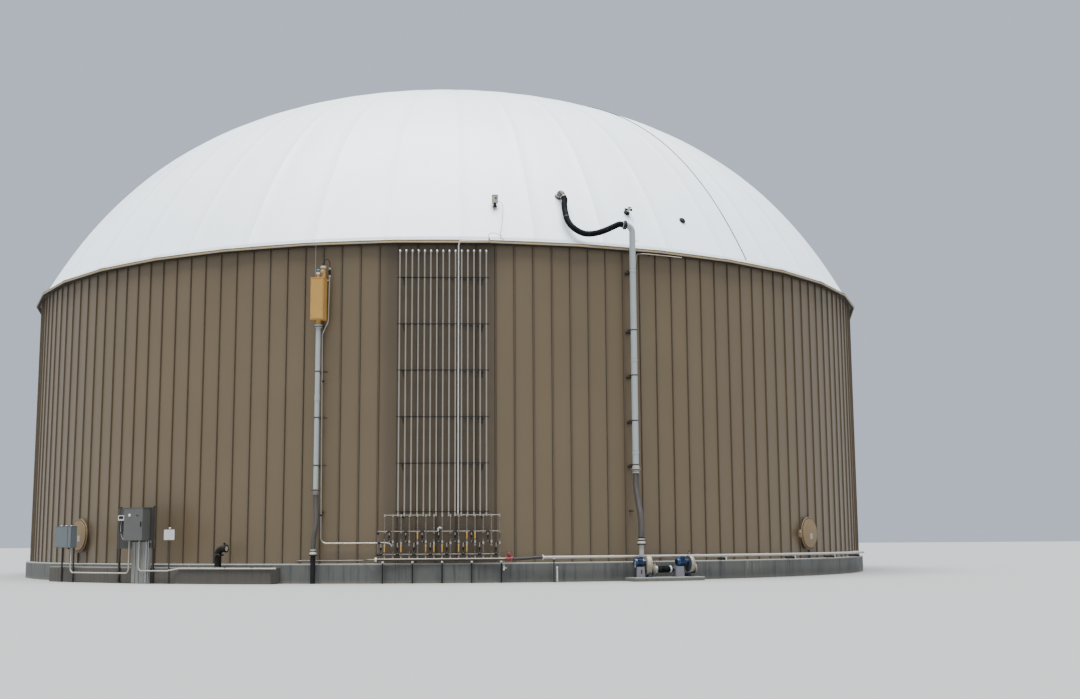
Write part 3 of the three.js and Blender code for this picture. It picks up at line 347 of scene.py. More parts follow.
def smooth_line(points, pieces=8):
    """A smooth line through given points, as a hose lies."""
    ends = [2 * points[0] - points[1], *points, 2 * points[-1] - points[-2]]
    line = []
    for a, b, c, d in zip(ends, ends[1:], ends[2:], ends[3:]):
        t1 = (b - a).length ** 0.5
        t2 = t1 + (c - b).length ** 0.5
        t3 = t2 + (d - c).length ** 0.5
        for s in range(pieces):
            t = t1 + (t2 - t1) * s / pieces
            ab = a.lerp(b, t / t1)
            bc = b.lerp(c, (t - t1) / (t2 - t1))
            cd = c.lerp(d, (t - t2) / (t3 - t2))
            early = ab.lerp(bc, t / t2)
            late = bc.lerp(cd, (t - t1) / (t3 - t1))
            line.append(early.lerp(late, (t - t1) / (t2 - t1)))
    return line + [points[-1]]


rubber = finish("black_rubber", (0.03, 0.027, 0.024), 0.7, bump=0.4, Patch_depth=0.5, Grain_size=0.006)
base_way = at(BASE_START, 0, 0, 1)
base_start = at(BASE_START, BASE_AXIS, BASE_HEIGHT)
connector_line = smooth_line(
    [
        at(RACK, RACK_AXIS, MAIN_HEIGHT, GATE_END),
        at(RACK, RACK_AXIS, MAIN_HEIGHT, GATE_END + 0.12),
        at(7.6, 17.31, 0.73),
        base_start - 0.18 * base_way,
        base_start - GAP * base_way,
    ]
)
hose = Piece()
hose.tube(connector_line, HOSE_RADIUS, rubber, CONNECTOR_SIDES)
connector = hose.done("connector_hose")
fit(connector, "black_rubber", "base_connector_hose")

# Stage: a plain pale floor a hair under the foundation, an even pale sky light and one large soft
# light from almost straight overhead. None of it belongs to the digester.
FLOOR_TONE = (0.27, 0.268, 0.262, 1)
FLOOR_HALF = 400
FLOOR_LEVEL = -0.002
SKY_TONE = (0.76, 0.86, 1.0, 1)
SKY_LIGHT = 0.74
SUN_LIGHT = 11.0
SUN_SPREAD = math.radians(50)
SUN_TONE = (0.97, 0.985, 1.0)
SUN_FROM = Vector((-0.06, -0.10, 1.0))

floor_mesh = bpy.data.meshes.new("floor")
floor_corners = [
    (x * FLOOR_HALF, y * FLOOR_HALF, FLOOR_LEVEL) for x, y in ((-1, -1), (1, -1), (1, 1), (-1, 1))
]
floor_mesh.from_pydata(floor_corners, [], [(0, 1, 2, 3)])
floor_paint = bpy.data.materials.new("floor")
floor_paint.use_nodes = True
floor_shader = floor_paint.node_tree.nodes["Principled BSDF"]
floor_shader.inputs["Base Color"].default_value = FLOOR_TONE
floor_shader.inputs["Roughness"].default_value = 0.9
floor_mesh.materials.append(floor_paint)
floor = bpy.data.objects.new("floor", floor_mesh)
bpy.context.scene.collection.objects.link(floor)

world = bpy.data.worlds.new("sky")
bpy.context.scene.world = world
world.use_nodes = True
sky = world.node_tree.nodes["Background"]
sky.inputs["Color"].default_value = SKY_TONE
sky.inputs["Strength"].default_value = SKY_LIGHT

sun_data = bpy.data.lights.new("sun", "SUN")
sun_data.energy = SUN_LIGHT
sun_data.angle = SUN_SPREAD
sun_data.color = SUN_TONE
sun = bpy.data.objects.new("sun", sun_data)
sun.rotation_mode = "QUATERNION"
sun.rotation_quaternion = SUN_FROM.to_track_quat("Z", "Y")
bpy.context.scene.collection.objects.link(sun)

# Foundation ring and floor: cast concrete with formwork joints every 2.4 m, a lighter band along the
# top edge and dark run-off stains. The wall and floor nodes are the same concrete.
RING_OUTER = 17.12
RING_INNER = 15.9
RING_TOP = 0.6
RING_SIDES = 240
CHAMFER = 0.018
FORM_STEP = 8.0
FORM_FIRST = 2.2


def tint(material, share, colour):
    """Lays one more colour over a finish where share is 1, under its own shader."""
    tree = material.node_tree
    base = tree.nodes["Principled BSDF"].inputs["Base Color"]
    mixed = blend(tree, share, base.links[0].from_socket, (*colour, 1))
    tree.links.new(mixed, base)


def round_place(tree):
    """Where a point lies round the tank: its azimuth in degrees, distance from the axis and height."""
    here = tree.nodes.new("ShaderNodeTexCoord").outputs["Object"]
    parts = tree.nodes.new("ShaderNodeSeparateXYZ")
    tree.links.new(here, parts.inputs[0])
    x, y, z = parts.outputs
    turn = calc(tree, "ARCTAN2", x, calc(tree, "MULTIPLY", y, -1.0))
    reach = calc(tree, "SQRT", calc(tree, "MULTIPLY_ADD", x, x, calc(tree, "MULTIPLY", y, y)))
    return calc(tree, "DEGREES", turn), reach, z


def from_line(tree, azimuth, first, step):
    """How far a point is from the nearest of a row of azimuths, in degrees."""
    steps = calc(tree, "DIVIDE", calc(tree, "SUBTRACT", azimuth, first), step)
    off = calc(tree, "SUBTRACT", steps, calc(tree, "ROUND", steps))
    return calc(tree, "MULTIPLY", calc(tree, "ABSOLUTE", off), step)


def cast_concrete(name, top, light, joints=True):
    """Grey cast concrete with lime and run-off, a lighter top edge and, if asked, formwork joints."""
    material = finish(
        name, (0.100, 0.101, 0.090), 0.9, bump=0.5, bump_depth=0.004, Patch_size=0.9, Patch_depth=0.7,
        Stain=(0.045, 0.052, 0.054, 1), Stain_share=0.8, Streak_width=0.12, Grain_size=0.02,
    )
    tree = material.node_tree
    azimuth, reach, height = round_place(tree)
    here = tree.nodes["Texture Coordinate"].outputs["Object"]
    lime = noise(tree, vector_calc(tree, "MULTIPLY", here, (1, 1, 0.12)), 5.5, 4.0)
    tint(material, between(tree, lime, 0.62, 0.8, 0.0, 0.4), (0.3, 0.27, 0.21))
    tint(material, between(tree, height, top - 0.06, top - 0.012, 0.0, light), (0.36, 0.365, 0.34))
    tint(material, between(tree, height, 0.0, 0.14, 0.45, 0.0), (0.2, 0.17, 0.13))
    if joints:
        near = from_line(tree, azimuth, FORM_FIRST, FORM_STEP)
        tint(material, between(tree, near, 0.012, 0.045, 0.65, 0.0), (0.05, 0.05, 0.05))
    return material


ring_concrete = cast_concrete("foundation_concrete", RING_TOP, 0.6)
plain_concrete = cast_concrete("wall_concrete", RING_TOP, 0.0, joints=False)
section = [
    (RING_INNER, 0.0),
    (RING_OUTER, 0.0),
    (RING_OUTER, RING_TOP - CHAMFER),
    (RING_OUTER - CHAMFER, RING_TOP),
    (RING_INNER, RING_TOP),
]
ring = Piece()
ring_rows = [[at(360 * k / RING_SIDES, r, z) for k in range(RING_SIDES)] for r, z in section]
ring.loft(ring_rows + ring_rows[:1], ring_concrete, closed=False)
bmesh.ops.remove_doubles(ring.shape, verts=ring.shape.verts, dist=0.0001)
fit(ring.done("foundation"), "concrete", "foundation_ring")
for node in ["floor_slab"] + [n for n in frame["nodes"] if n.startswith("tank_wall")]:
    frame["nodes"][node].data.materials.clear()
    frame["nodes"][node].data.materials.append(plain_concrete)

# Cladding: 175 coil-coated steel pans, 610 mm wide, hooked into each other at a standing seam, with
# a shadow groove on both sides of the seam.
PANS = 175
SEAM_FIRST = 0.375
SEAM_TIP = 16.98
PAN_FACE = 16.93
CLAD_BACK = 16.7306
SEAM_HALF = 0.013
GROOVE = 0.016
GROOVE_DEPTH = 0.013
CLAD_BOTTOM = 0.6003
CLAD_TOP = 10.5657
PAN_STEP = 360 / PANS
SEAM_BEND = 0.006
SEAM_CREST = 0.005
GROOVE_BEND = 0.003


def dial(material, label, value):
    """Sets one value on a finish's own shader."""
    material.node_tree.nodes["Principled BSDF"].inputs[label].default_value = value


brown = finish(
    "cladding_paint", (0.130, 0.092, 0.048), 0.42, bump=0.08, Patch_size=2.2, Patch_depth=0.16,
    Stain=(0.11, 0.085, 0.06, 1), Stain_share=0.25, Streak_width=0.35, Grain_size=0.01,
)
dial(brown, "Sheen Weight", 0.06)
dial(brown, "Sheen Tint", (0.8, 0.9, 1.0, 1))
tree = brown.node_tree
azimuth, reach, height = round_place(tree)
from_first = calc(tree, "SUBTRACT", azimuth, SEAM_FIRST)
pan_number = calc(tree, "FLOOR", calc(tree, "DIVIDE", from_first, PAN_STEP))
pan_tone = tree.nodes.new("ShaderNodeTexWhiteNoise")
pan_tone.noise_dimensions = "1D"
tree.links.new(pan_number, pan_tone.inputs["W"])
tint(brown, calc(tree, "MULTIPLY", pan_tone.outputs["Value"], 0.12), (0.11, 0.088, 0.060))
# Painted shade: the groove floors beside each seam are darkened, and the standing seams darken from their
# foot up, as the shade along the seams.
tint(brown, between(tree, reach, PAN_FACE - 0.009, PAN_FACE - 0.004, 0.6, 0.0), (0.04, 0.028, 0.018))
tint(brown, between(tree, reach, PAN_FACE + 0.004, PAN_FACE + 0.03, 0.0, 0.4), (0.06, 0.045, 0.032))
# Painted shade: the top 0.3 m of the cladding is darkened as the shade under the eave trim.
tint(brown, between(tree, height, CLAD_TOP - 0.3, CLAD_TOP, 0.0, 0.3), (0.05, 0.04, 0.03))
tint(brown, between(tree, height, CLAD_BOTTOM, CLAD_BOTTOM + 0.7, 0.3, 0.0), (0.14, 0.11, 0.072))
# Painted shade: the cladding behind the riser rack and manifold is darkened as the shade they cast.
painted_rack_shade = calc(
    tree,
    "MULTIPLY",
    between(tree, azimuth, -8.2, -6.6),
    between(tree, azimuth, 4.0, 5.0, 1.0, 0.0),
)
tint(brown, calc(tree, "MULTIPLY", painted_rack_shade, 0.6), (0.050, 0.035, 0.020))

pan_length = 2 * math.pi * SEAM_TIP / PANS


def on_arc(along, radius):
    a = along / SEAM_TIP
    return Vector((radius * math.sin(a), -radius * math.cos(a)))


# The set_out tree puts copies of a pattern in a row or round an axis, and makes them one mesh.
set_out, given, gives = group(
    "set_out",
    "GeometryNodeTree",
    [
        ("Geometry", "Geometry", None),
        ("Pattern", "Object", None),
        ("Count", "Int", 2),
        ("First turn", "Float", 0.0),
        ("Turn", "Float", 0.0),
        ("Step", "Vector", (0.0, 0.0, 0.0)),
        ("Finish", "Material", None),
    ],
    [("Geometry", "Geometry")],
)
order = set_out.nodes.new("GeometryNodeInputIndex").outputs[0]
step = vector_calc(set_out, "SCALE", given["Step"])
set_out.links.new(order, step.node.inputs["Scale"])
places = set_out.nodes.new("GeometryNodePoints")
feed(set_out, places.inputs["Count"], given["Count"])
feed(set_out, places.inputs["Position"], step)
spin = set_out.nodes.new("ShaderNodeCombineXYZ")
feed(set_out, spin.inputs["Z"], calc(set_out, "MULTIPLY_ADD", order, given["Turn"], given["First turn"]))
pattern = set_out.nodes.new("GeometryNodeObjectInfo")
feed(set_out, pattern.inputs["Object"], given["Pattern"])
copies = set_out.nodes.new("GeometryNodeInstanceOnPoints")
feed(set_out, copies.inputs["Points"], places.outputs[0])
feed(set_out, copies.inputs["Instance"], pattern.outputs["Geometry"])
feed(set_out, copies.inputs["Rotation"], spin.outputs[0])
real = set_out.nodes.new("GeometryNodeRealizeInstances")
feed(set_out, real.inputs[0], copies.outputs[0])
joined = set_out.nodes.new("GeometryNodeMergeByDistance")
feed(set_out, joined.inputs["Geometry"], real.outputs[0])
joined.inputs["Distance"].default_value = 0.0001
painted = set_out.nodes.new("GeometryNodeSetMaterial")
feed(set_out, painted.inputs["Geometry"], joined.outputs[0])
feed(set_out, painted.inputs["Material"], given["Finish"])
feed(set_out, gives["Geometry"], painted.outputs[0])


def run(tree, mesh, **values):
    """Runs a tree on a mesh with its inputs set, and gives back the plain mesh that comes out."""
    holder = bpy.data.objects.new("holder", mesh)
    bpy.context.scene.collection.objects.link(holder)
    modifier = holder.modifiers.new("holder", "NODES")
    modifier.node_group = tree
    for socket in tree.interface.items_tree:
        label = socket.name.replace(" ", "_")
        if socket.in_out == "INPUT" and label in values:
            modifier[socket.identifier] = values[label]
    holder.update_tag()
    ready = holder.evaluated_get(bpy.context.evaluated_depsgraph_get())
    made = bpy.data.meshes.new_from_object(ready)
    holder.modifiers.remove(modifier)
    bpy.data.objects.remove(holder)
    return made


def repeat(pattern, count, finish, turn=0.0, first=0.0, step=(0, 0, 0)):
    """Copies of a small piece, turned about its own Z or set in a row, as one mesh."""
    return run(
        set_out,
        bpy.data.meshes.new("copies"),
        Pattern=pattern,
        Count=count,
        First_turn=math.radians(first),
        Turn=math.radians(turn),
        Step=step,
        Finish=finish,
    )


def pattern_of(piece):
    """A small piece that is only a pattern for copies, so it isn't shown itself."""
    made = piece.done("pattern")
    bpy.context.scene.collection.objects.unlink(made)
    return made


def whole(mesh, name, smooth=35):
    """A piece from a mesh that nodes made, with its faces turned outwards."""
    piece = Piece()
    piece.add(mesh, mesh.materials[0])
    return piece.done(name, smooth)


pan_left = on_arc(SEAM_HALF + GROOVE + GROOVE_BEND, PAN_FACE)
pan_right = on_arc(pan_length - SEAM_HALF - GROOVE - GROOVE_BEND, PAN_FACE)
pan_front = [
    on_arc(-SEAM_HALF, PAN_FACE - GROOVE_DEPTH),
    on_arc(-SEAM_HALF, SEAM_TIP - SEAM_BEND),
    on_arc(-SEAM_HALF + SEAM_CREST, SEAM_TIP),
    on_arc(SEAM_HALF - SEAM_CREST, SEAM_TIP),
    on_arc(SEAM_HALF, SEAM_TIP - SEAM_BEND),
    on_arc(SEAM_HALF, PAN_FACE - GROOVE_DEPTH),
    on_arc(SEAM_HALF + GROOVE, PAN_FACE - GROOVE_DEPTH),
    pan_left,
    pan_right,
    on_arc(pan_length - SEAM_HALF - GROOVE, PAN_FACE - GROOVE_DEPTH),
    on_arc(pan_length - SEAM_HALF, PAN_FACE - GROOVE_DEPTH),
]
pan_back = [on_arc(pan_length - SEAM_HALF, CLAD_BACK), on_arc(-SEAM_HALF, CLAD_BACK)]
pan = Piece()
levels = [
    [pan.shape.verts.new((p.x, p.y, z)) for p in pan_front + pan_back] for z in (CLAD_BOTTOM, CLAD_TOP)
]
pan_faces = [pan.shape.faces.new(level) for level in levels]
for side in (range(len(pan_front) - 1), [len(pan_front)]):
    for k in side:
        pan_faces.append(
            pan.shape.faces.new((levels[0][k], levels[0][k + 1], levels[1][k + 1], levels[1][k]))
        )
pan.paint(pan_faces, brown)
pan_pattern = pattern_of(pan)
cladding = whole(repeat(pan_pattern, PANS, brown, turn=PAN_STEP, first=SEAM_FIRST), "cladding", 25)
fit(cladding, "cladding", *[n for n in frame["nodes"] if n.startswith("wall_cladding")])

# Eave trim: 37 straight lengths of folded sheet round the wall's head, a sand-coloured fascia over
# a paler drip lip, with a sleeve over each corner joint.
EAVE_SIDES = 37
EAVE_CORNER = -15.75
EAVE_LOW = 10.566
EAVE_HIGH = 10.666
EAVE_OUT = 17.175
EAVE_STEP = 360 / EAVE_SIDES
EAVE_INNER = 16.53
SLEEVE_TURN = 0.74

sand = finish(
    "trim_sand", (0.165, 0.112, 0.050), 0.5, bump=0.06, Patch_size=0.8, Patch_depth=0.3, Stain_share=0.18
)
cream = finish(
    "trim_cream", (0.27, 0.212, 0.120), 0.5, bump=0.06, Patch_size=0.8, Patch_depth=0.3, Stain_share=0.18
)


def eave_length(profile, paint):
    """One straight length of trim between two corners, as a pattern."""
    piece = Piece()
    ends = [EAVE_CORNER, EAVE_CORNER + EAVE_STEP]
    piece.loft([[at(a, r, z) for r, z in profile] for a in ends], paint, closed=False)
    return pattern_of(piece)


fascia = [
    (EAVE_INNER, EAVE_LOW + 0.012),
    (EAVE_INNER, EAVE_HIGH),
    (EAVE_OUT - 0.03, EAVE_HIGH),
    (EAVE_OUT - 0.018, EAVE_HIGH - 0.008),
    (EAVE_OUT - 0.018, EAVE_LOW + 0.046),
    (EAVE_OUT - 0.04, EAVE_LOW + 0.012),
]
lip = [
    (EAVE_OUT - 0.022, EAVE_LOW + 0.05),
    (EAVE_OUT - 0.004, EAVE_LOW + 0.05),
    (EAVE_OUT, EAVE_LOW + 0.044),
    (EAVE_OUT, EAVE_LOW + 0.004),
    (EAVE_OUT - 0.006, EAVE_LOW),
    (EAVE_OUT - 0.03, EAVE_LOW),
    (EAVE_OUT - 0.03, EAVE_LOW + 0.008),
]
eave = Piece()
for profile, paint in ((fascia, sand), (lip, cream)):
    length = eave_length(profile, paint)
    eave.add(repeat(length, EAVE_SIDES, paint, turn=EAVE_STEP), paint)
sleeve = Piece()
sleeve_profile = [
    (EAVE_OUT - 0.16, EAVE_HIGH + 0.003),
    (EAVE_OUT - 0.02, EAVE_HIGH + 0.003),
    (EAVE_OUT - 0.012, EAVE_HIGH - 0.007),
    (EAVE_OUT - 0.012, EAVE_LOW + 0.052),
    (EAVE_OUT - 0.022, EAVE_LOW + 0.052),
    (EAVE_OUT - 0.16, EAVE_HIGH - 0.012),
]
flat_share = math.cos(math.radians(EAVE_STEP / 2))


def on_eave(turn, radius, height):
    """A point on the many-sided trim, near a corner, for a radius given at the corner."""
    off = math.radians(EAVE_STEP / 2 - abs(turn))
    return at(EAVE_CORNER + turn, radius * flat_share / math.cos(off), height)


sleeve.loft(
    [[on_eave(turn, r, z) for r, z in sleeve_profile] for turn in (-SLEEVE_TURN, 0, SLEEVE_TURN)], sand
)
eave.add(repeat(pattern_of(sleeve), EAVE_SIDES, sand, turn=EAVE_STEP), sand)
fit(eave.done("eave"), "trim", "eave_trim")

# Closure strip: a square-cut strip of black foam rubber that runs all the way round under the trim
# and closes the gap between it and the cladding. Its black is also painted shade under the trim.
CLOSURE_LOW = 10.527
CLOSURE_IN = 17.05
CLOSURE_OUT = 17.135

foam_and_shade = finish("closure_foam", (0.012, 0.011, 0.010), 0.9, bump=0.3, Patch_size=0.3, Patch_depth=0.4)
closure_section = [
    (CLOSURE_IN, EAVE_LOW),
    (CLOSURE_IN, CLOSURE_LOW),
    (CLOSURE_OUT, CLOSURE_LOW),
    (CLOSURE_OUT, EAVE_LOW),
]
closure_rings = [
    [at(EAVE_CORNER + EAVE_STEP * k, r, z) for r, z in closure_section] for k in range(EAVE_SIDES)
]
closure = Piece()
closure.loft(closure_rings + closure_rings[:1], foam_and_shade, closed=False)
bmesh.ops.remove_doubles(closure.shape, verts=closure.shape.verts, dist=0.0001)
fit(closure.done("closure_strip"), "trim")

# Dome: 45 gores of white coated fabric, welded along their edges and blown up into a flat dome that
# steepens at the rim, where a roped hem is clamped to the wall's head.
GORES = 45
GORE_STEP = 360 / GORES
GORE_FIRST = 0.8
DOME_BASE = 19.964
DOME_SQUARE = 5.715
DOME_SIXTH = 3.591
DOME_FLANK = 16.88
DOME_RIM = 16.96
DOME_ROWS = 72
WELD_HALF = 0.035
WELD_LIFT = 0.0035
GORE_SLACK = 0.012
FABRIC = 0.003
HEM_REACH = 16.985
HEM_RADIUS = 0.026


def dome_height(radius):
    share = radius / SEAM_TIP
    return DOME_BASE - DOME_SQUARE * share**2 - DOME_SIXTH * share**6


def dome_normal(radius, azimuth=0.0):
    share = radius / SEAM_TIP
    fall = (2 * DOME_SQUARE * share + 6 * DOME_SIXTH * share**5) / SEAM_TIP
    return (at(azimuth, fall, 0) + Vector((0, 0, 1))).normalized()


def on_dome(azimuth, radius, away=0.0):
    return at(azimuth, radius, dome_height(radius)) + away * dome_normal(radius, azimuth)


white = finish(
    "membrane", (0.87, 0.94, 0.99), 0.42, bump=0.05, bump_depth=0.002, Patch_size=3.5, Patch_depth=0.05,
    Stain=(0.66, 0.68, 0.70, 1), Stain_share=0.10, Streak_width=0.5, Grain_size=0.03,
)
tree = white.node_tree
azimuth, reach, height = round_place(tree)
weld = calc(tree, "MULTIPLY", from_line(tree, azimuth, GORE_FIRST, GORE_STEP), calc(tree, "RADIANS", reach))
tint(white, between(tree, weld, 0.02, 0.06, 0.16, 0.0), (0.55, 0.58, 0.62))
dial(white, "Sheen Weight", 0.1)

gore = Piece()
gore_rows = []
for row in range(DOME_ROWS + 1):
    radius = DOME_FLANK * math.sin(math.pi / 2 * row / DOME_ROWS) ** 0.9
    if row == 0:
        gore_rows.append([on_dome(0, 0)])
        continue
    half_gore = math.radians(GORE_STEP / 2) * radius
    weld_half = min(WELD_HALF, half_gore * 0.3)
    offsets = [-1.0, -1.0 + weld_half / half_gore, -1.0 + 1.3 * weld_half / half_gore, -0.6, -0.2]
    offsets += [-x for x in reversed(offsets)]
    line = []
    for x in offsets:
        belly = GORE_SLACK * (1 - x * x) * min(1.0, radius / 4) * min(1.0, (DOME_RIM - radius) / 1.2)
        strip = WELD_LIFT if half_gore * (1 - abs(x)) <= weld_half + 1e-6 else 0.0
        line.append(on_dome(GORE_FIRST + GORE_STEP * (0.5 + x / 2), radius, belly + strip - GORE_SLACK))
    gore_rows.append(line)
edge = [at(GORE_FIRST + GORE_STEP * (0.5 + x / 2), DOME_RIM, EAVE_HIGH + 0.0005) for x in offsets]
gore_rows.append(edge)
verts = [[gore.shape.verts.new(point) for point in row] for row in gore_rows]
gore_faces = []
for low, high in zip(verts, verts[1:]):
    for k in range(len(high) - 1):
        corners = [low[min(k, len(low) - 1)], high[k], high[k + 1], low[min(k + 1, len(low) - 1)]]
        gore_faces.append(gore.shape.faces.new(list(dict.fromkeys(corners))))
gore.paint(gore_faces, white)
dome_mesh = repeat(pattern_of(gore), GORES, white, turn=GORE_STEP)
dome = whole(dome_mesh, "dome", 60)
thick = dome.modifiers.new("fabric", "SOLIDIFY")
thick.thickness = FABRIC
thick.offset = -1
fit(dome, "membrane", "roof_membrane")

hem = Piece()
hem.hoop(Vector((0, 0, EAVE_HIGH + 0.03)), Vector((0, 0, 1)), HEM_REACH, HEM_RADIUS, white, 360, 10)
fit(hem.done("hem"), "membrane")

# Relief valve: a sand-gold powder-coated steel cabinet over the pipe that lets gas out when the
# pressure rises. Its door hangs on three hinges, and a vent, a gauge and a test tap stand on its lid.
RELIEF = -14.10
RELIEF_AXIS = 17.27
HOUSING = (0.42, 0.36, 1.315)
HOUSING_LOW = 8.13
WALL_FACE = 16.945
LID_TOP = 9.4703
VENT_REACH = 17.20
GAUGE_REACH = 17.31
STRUT_SIZE = 0.041
FLANGE_BOLTS = 8
UP = Vector((0, 0, 1))
OUT = Vector((0, -1, 0))
RIGHT = Vector((1, 0, 0))

golden = finish(
    "golden_paint", (0.44, 0.245, 0.055), 0.45, bump=0.05, Patch_size=0.5, Patch_depth=0.22,
    Stain=(0.30, 0.18, 0.07, 1), Stain_share=0.25, Streak_width=0.03,
)
white_plastic = finish(
    "white_plastic", (0.55, 0.55, 0.52), 0.4, Patch_size=0.2, Patch_depth=0.1, Stain_share=0.12
)
cap_grey = finish("cap_grey", (0.36, 0.33, 0.28), 0.6, Patch_size=0.1, Patch_depth=0.4, Stain_share=0.3)
teal = finish("teal_paint", (0.03, 0.10, 0.13), 0.4, Patch_size=0.1, Patch_depth=0.3, Stain_share=0.1)
steel = finish("zinc_steel", (0.42, 0.41, 0.39), 0.38, metallic=0.75, Patch_size=0.15, Patch_depth=0.35)
iron = finish(
    "black_iron", (0.006, 0.006, 0.007), 0.6, bump=0.3, Patch_size=0.2, Patch_depth=0.5, Stain_share=0.1
)
dial(iron, "Specular IOR Level", 0.25)


def facing(azimuth):
    return Matrix.Rotation(math.radians(azimuth), 4, "Z")


def aim(start, way):
    return Matrix.Translation(start) @ way.to_track_quat("Z", "Y").to_matrix().to_4x4()


def spot(across, radius, height):
    """A place in the frame of a piece that faces -Y."""
    return Vector((across, -radius, height))


def bolts(piece, centre, way, circle, count, size, paint, first=0.0):
    """Hexagon heads on a bolt circle."""
    head = Piece()
    head.turned(
        Vector((circle, 0, 0)), UP, [(0, size), (0.7 * size, size), (0.8 * size, 0.85 * size)], paint, 6
    )
    heads = repeat(pattern_of(head), count, paint, turn=360 / count, first=first)
    piece.add(heads, paint, aim(centre, way))


def flange(piece, centre, way, radius, thickness, bore, paint):
    """A pipe flange pair's half: a disc with a raised hub and bolt heads on its outer face."""
    rim = [(0, radius), (thickness - 0.003, radius), (thickness, radius - 0.003), (thickness, bore + 0.012)]
    piece.turned(centre, way, rim + [(thickness + 0.012, bore + 0.002)], paint, 32)
    bolts(piece, centre + way * thickness, way, (radius + bore) / 2 + 0.004, FLANGE_BOLTS, 0.011, steel)


def wall_channel(piece, across, height, reach, paint, width=STRUT_SIZE):
    """A strut bracket that sticks out of the wall, with its open side upwards."""
    length = reach - WALL_FACE
    middle = spot(across, WALL_FACE + length / 2, height)
    piece.block((width, length, 0.003), middle - STRUT_SIZE / 2 * UP, paint, 0)
    for side in (-1, 1):
        piece.block((0.003, length, STRUT_SIZE), middle + side * (width / 2 - 0.0015) * RIGHT, paint, 0)
        lip = middle + side * (width / 2 - 0.006) * RIGHT + (STRUT_SIZE / 2 - 0.0015) * UP
        piece.block((0.009, length, 0.003), lip, paint, 0)
    piece.block(
        (width + 0.05, 0.006, STRUT_SIZE + 0.05), spot(across, WALL_FACE + 0.003, height), paint, 0.001
    )


relief = Piece(facing(RELIEF))
housing_middle = HOUSING_LOW + HOUSING[2] / 2
relief.block(HOUSING, spot(0, RELIEF_AXIS, housing_middle), golden, 0.004)
relief.block((0.436, 0.376, 0.028), spot(0, RELIEF_AXIS, 9.456), golden, 0.003)
relief.block((0.37, 0.012, 1.24), spot(0, RELIEF_AXIS + 0.184, housing_middle), golden, 0.003)
for height in (8.32, 8.79, 9.26):
    relief.tube([spot(-0.192, 17.46, height - 0.04), spot(-0.192, 17.46, height + 0.04)], 0.009, golden, 8)
for height in (8.5, 9.05):
    relief.turned(spot(0.155, 17.459, height), OUT, [(0, 0.016), (0.012, 0.016), (0.014, 0.009)], steel, 12)
neck_top = spot(0, RELIEF_AXIS, 8.135)
relief.turned(neck_top, -UP, [(0, 0.09), (0.02, 0.09), (0.025, 0.075), (0.155, 0.075)], golden, 32)
flange(relief, spot(0, RELIEF_AXIS, 7.945), UP, 0.13, 0.038, 0.075, cap_grey)
relief.disc(spot(0, RELIEF_AXIS, 7.9203), UP, 0.126, 0.024, iron, 32)
for height in (8.35, 9.23):
    wall_channel(relief, -0.12, height, 17.10, golden)
fit(relief.done("relief_cabinet"), "golden_paint", "relief_housing")

vent = Piece(facing(RELIEF))
vent_foot = spot(0.11, VENT_REACH, LID_TOP)
vent.turned(vent_foot, UP, [(0, 0.098), (0.016, 0.098), (0.018, 0.075), (0.325, 0.075)], golden, 28)
vent.turned(
    vent_foot + 0.32 * UP, UP, [(0, 0.095), (0.05, 0.095), (0.07, 0.075), (0.08, 0.03)], cap_grey, 28
)
vent.turned(
    spot(0.11, 17.26, 9.68), OUT, [(0, 0.045), (0.04, 0.045), (0.042, 0.052), (0.06, 0.052)], cap_grey
)
vent.turned(
    spot(0.11, 17.31, 9.68), OUT, [(0, 0.034), (0.018, 0.034), (0.03, 0.02), (0.045, 0.02)], golden, 16
)
gauge_foot = spot(-0.016, GAUGE_REACH, LID_TOP)
vent.turned(gauge_foot, UP, [(0, 0.06), (0.02, 0.06), (0.022, 0.045), (0.11, 0.045)], golden)
vent.turned(gauge_foot + 0.11 * UP, UP, [(0, 0.062), (0.055, 0.066), (0.067, 0.066)], white_plastic, 28)
vent.turned(gauge_foot + 0.177 * UP, UP, [(0, 0.068), (0.075, 0.068), (0.093, 0.052)], teal, 28)
loop = smooth_line(
    [
        spot(0.11, 17.20, 9.86),
        spot(0.115, 17.20, 9.96),
        spot(0.20, 17.18, 10.09),
        spot(0.285, 17.13, 10.02),
        spot(0.287, 17.10, 9.80),
    ]
)
vent.tube(loop, 0.013, iron, 8)
vent.tube([spot(-0.175, 17.13, 9.47), spot(-0.175, 17.13, 10.563)], 0.007, steel, 8)
fit(vent.done("relief_vent_and_gauge"), "golden_paint", "relief_vent")

# Relief pipe: pale grey plastic pipe with a solvent-welded socket at mid height, held to the wall by
# strut brackets and split rings, with a black loose flange at its foot.
PIPE_RADIUS = 0.075
PIPE_FOOT = 2.82
PIPE_HEAD = 7.9197
SOCKET_FOOT = 5.60
SOCKET_RADIUS = 0.084

grey_pipe = finish(
    "grey_pipe", (0.34, 0.365, 0.36), 0.4, bump=0.03, Patch_size=0.8, Patch_depth=0.16,
    Stain=(0.22, 0.22, 0.2, 1), Stain_share=0.3, Streak_width=0.04,
)
# Painted shade: the galvanised strut steel is coloured dark, as the shade it stands in.
strut = finish(
    "strut", (0.06, 0.052, 0.045), 0.5, metallic=0.55, Patch_size=0.25, Patch_depth=0.5,
    Stain=(0.05, 0.04, 0.03, 1), Stain_share=0.4,
)


def split_ring(piece, centre, way, radius, paint):
    """A pipe clamp: a flat band with two bolted ears."""
    band = [(-0.018, radius), (-0.018, radius + 0.005), (0.018, radius + 0.005), (0.018, radius)]
    piece.turned(centre, way, band, paint, 28)
    side = RIGHT if abs(way.z) > 0.5 else UP
    for turn in (-1, 1):
        ear = centre + turn * (radius + 0.018) * side
        piece.block((0.034, 0.014, 0.034), ear, paint, 0.001)
        piece.turned(ear + 0.007 * OUT, OUT, [(0, 0.008), (0.008, 0.008), (0.009, 0.005)], steel, 6)


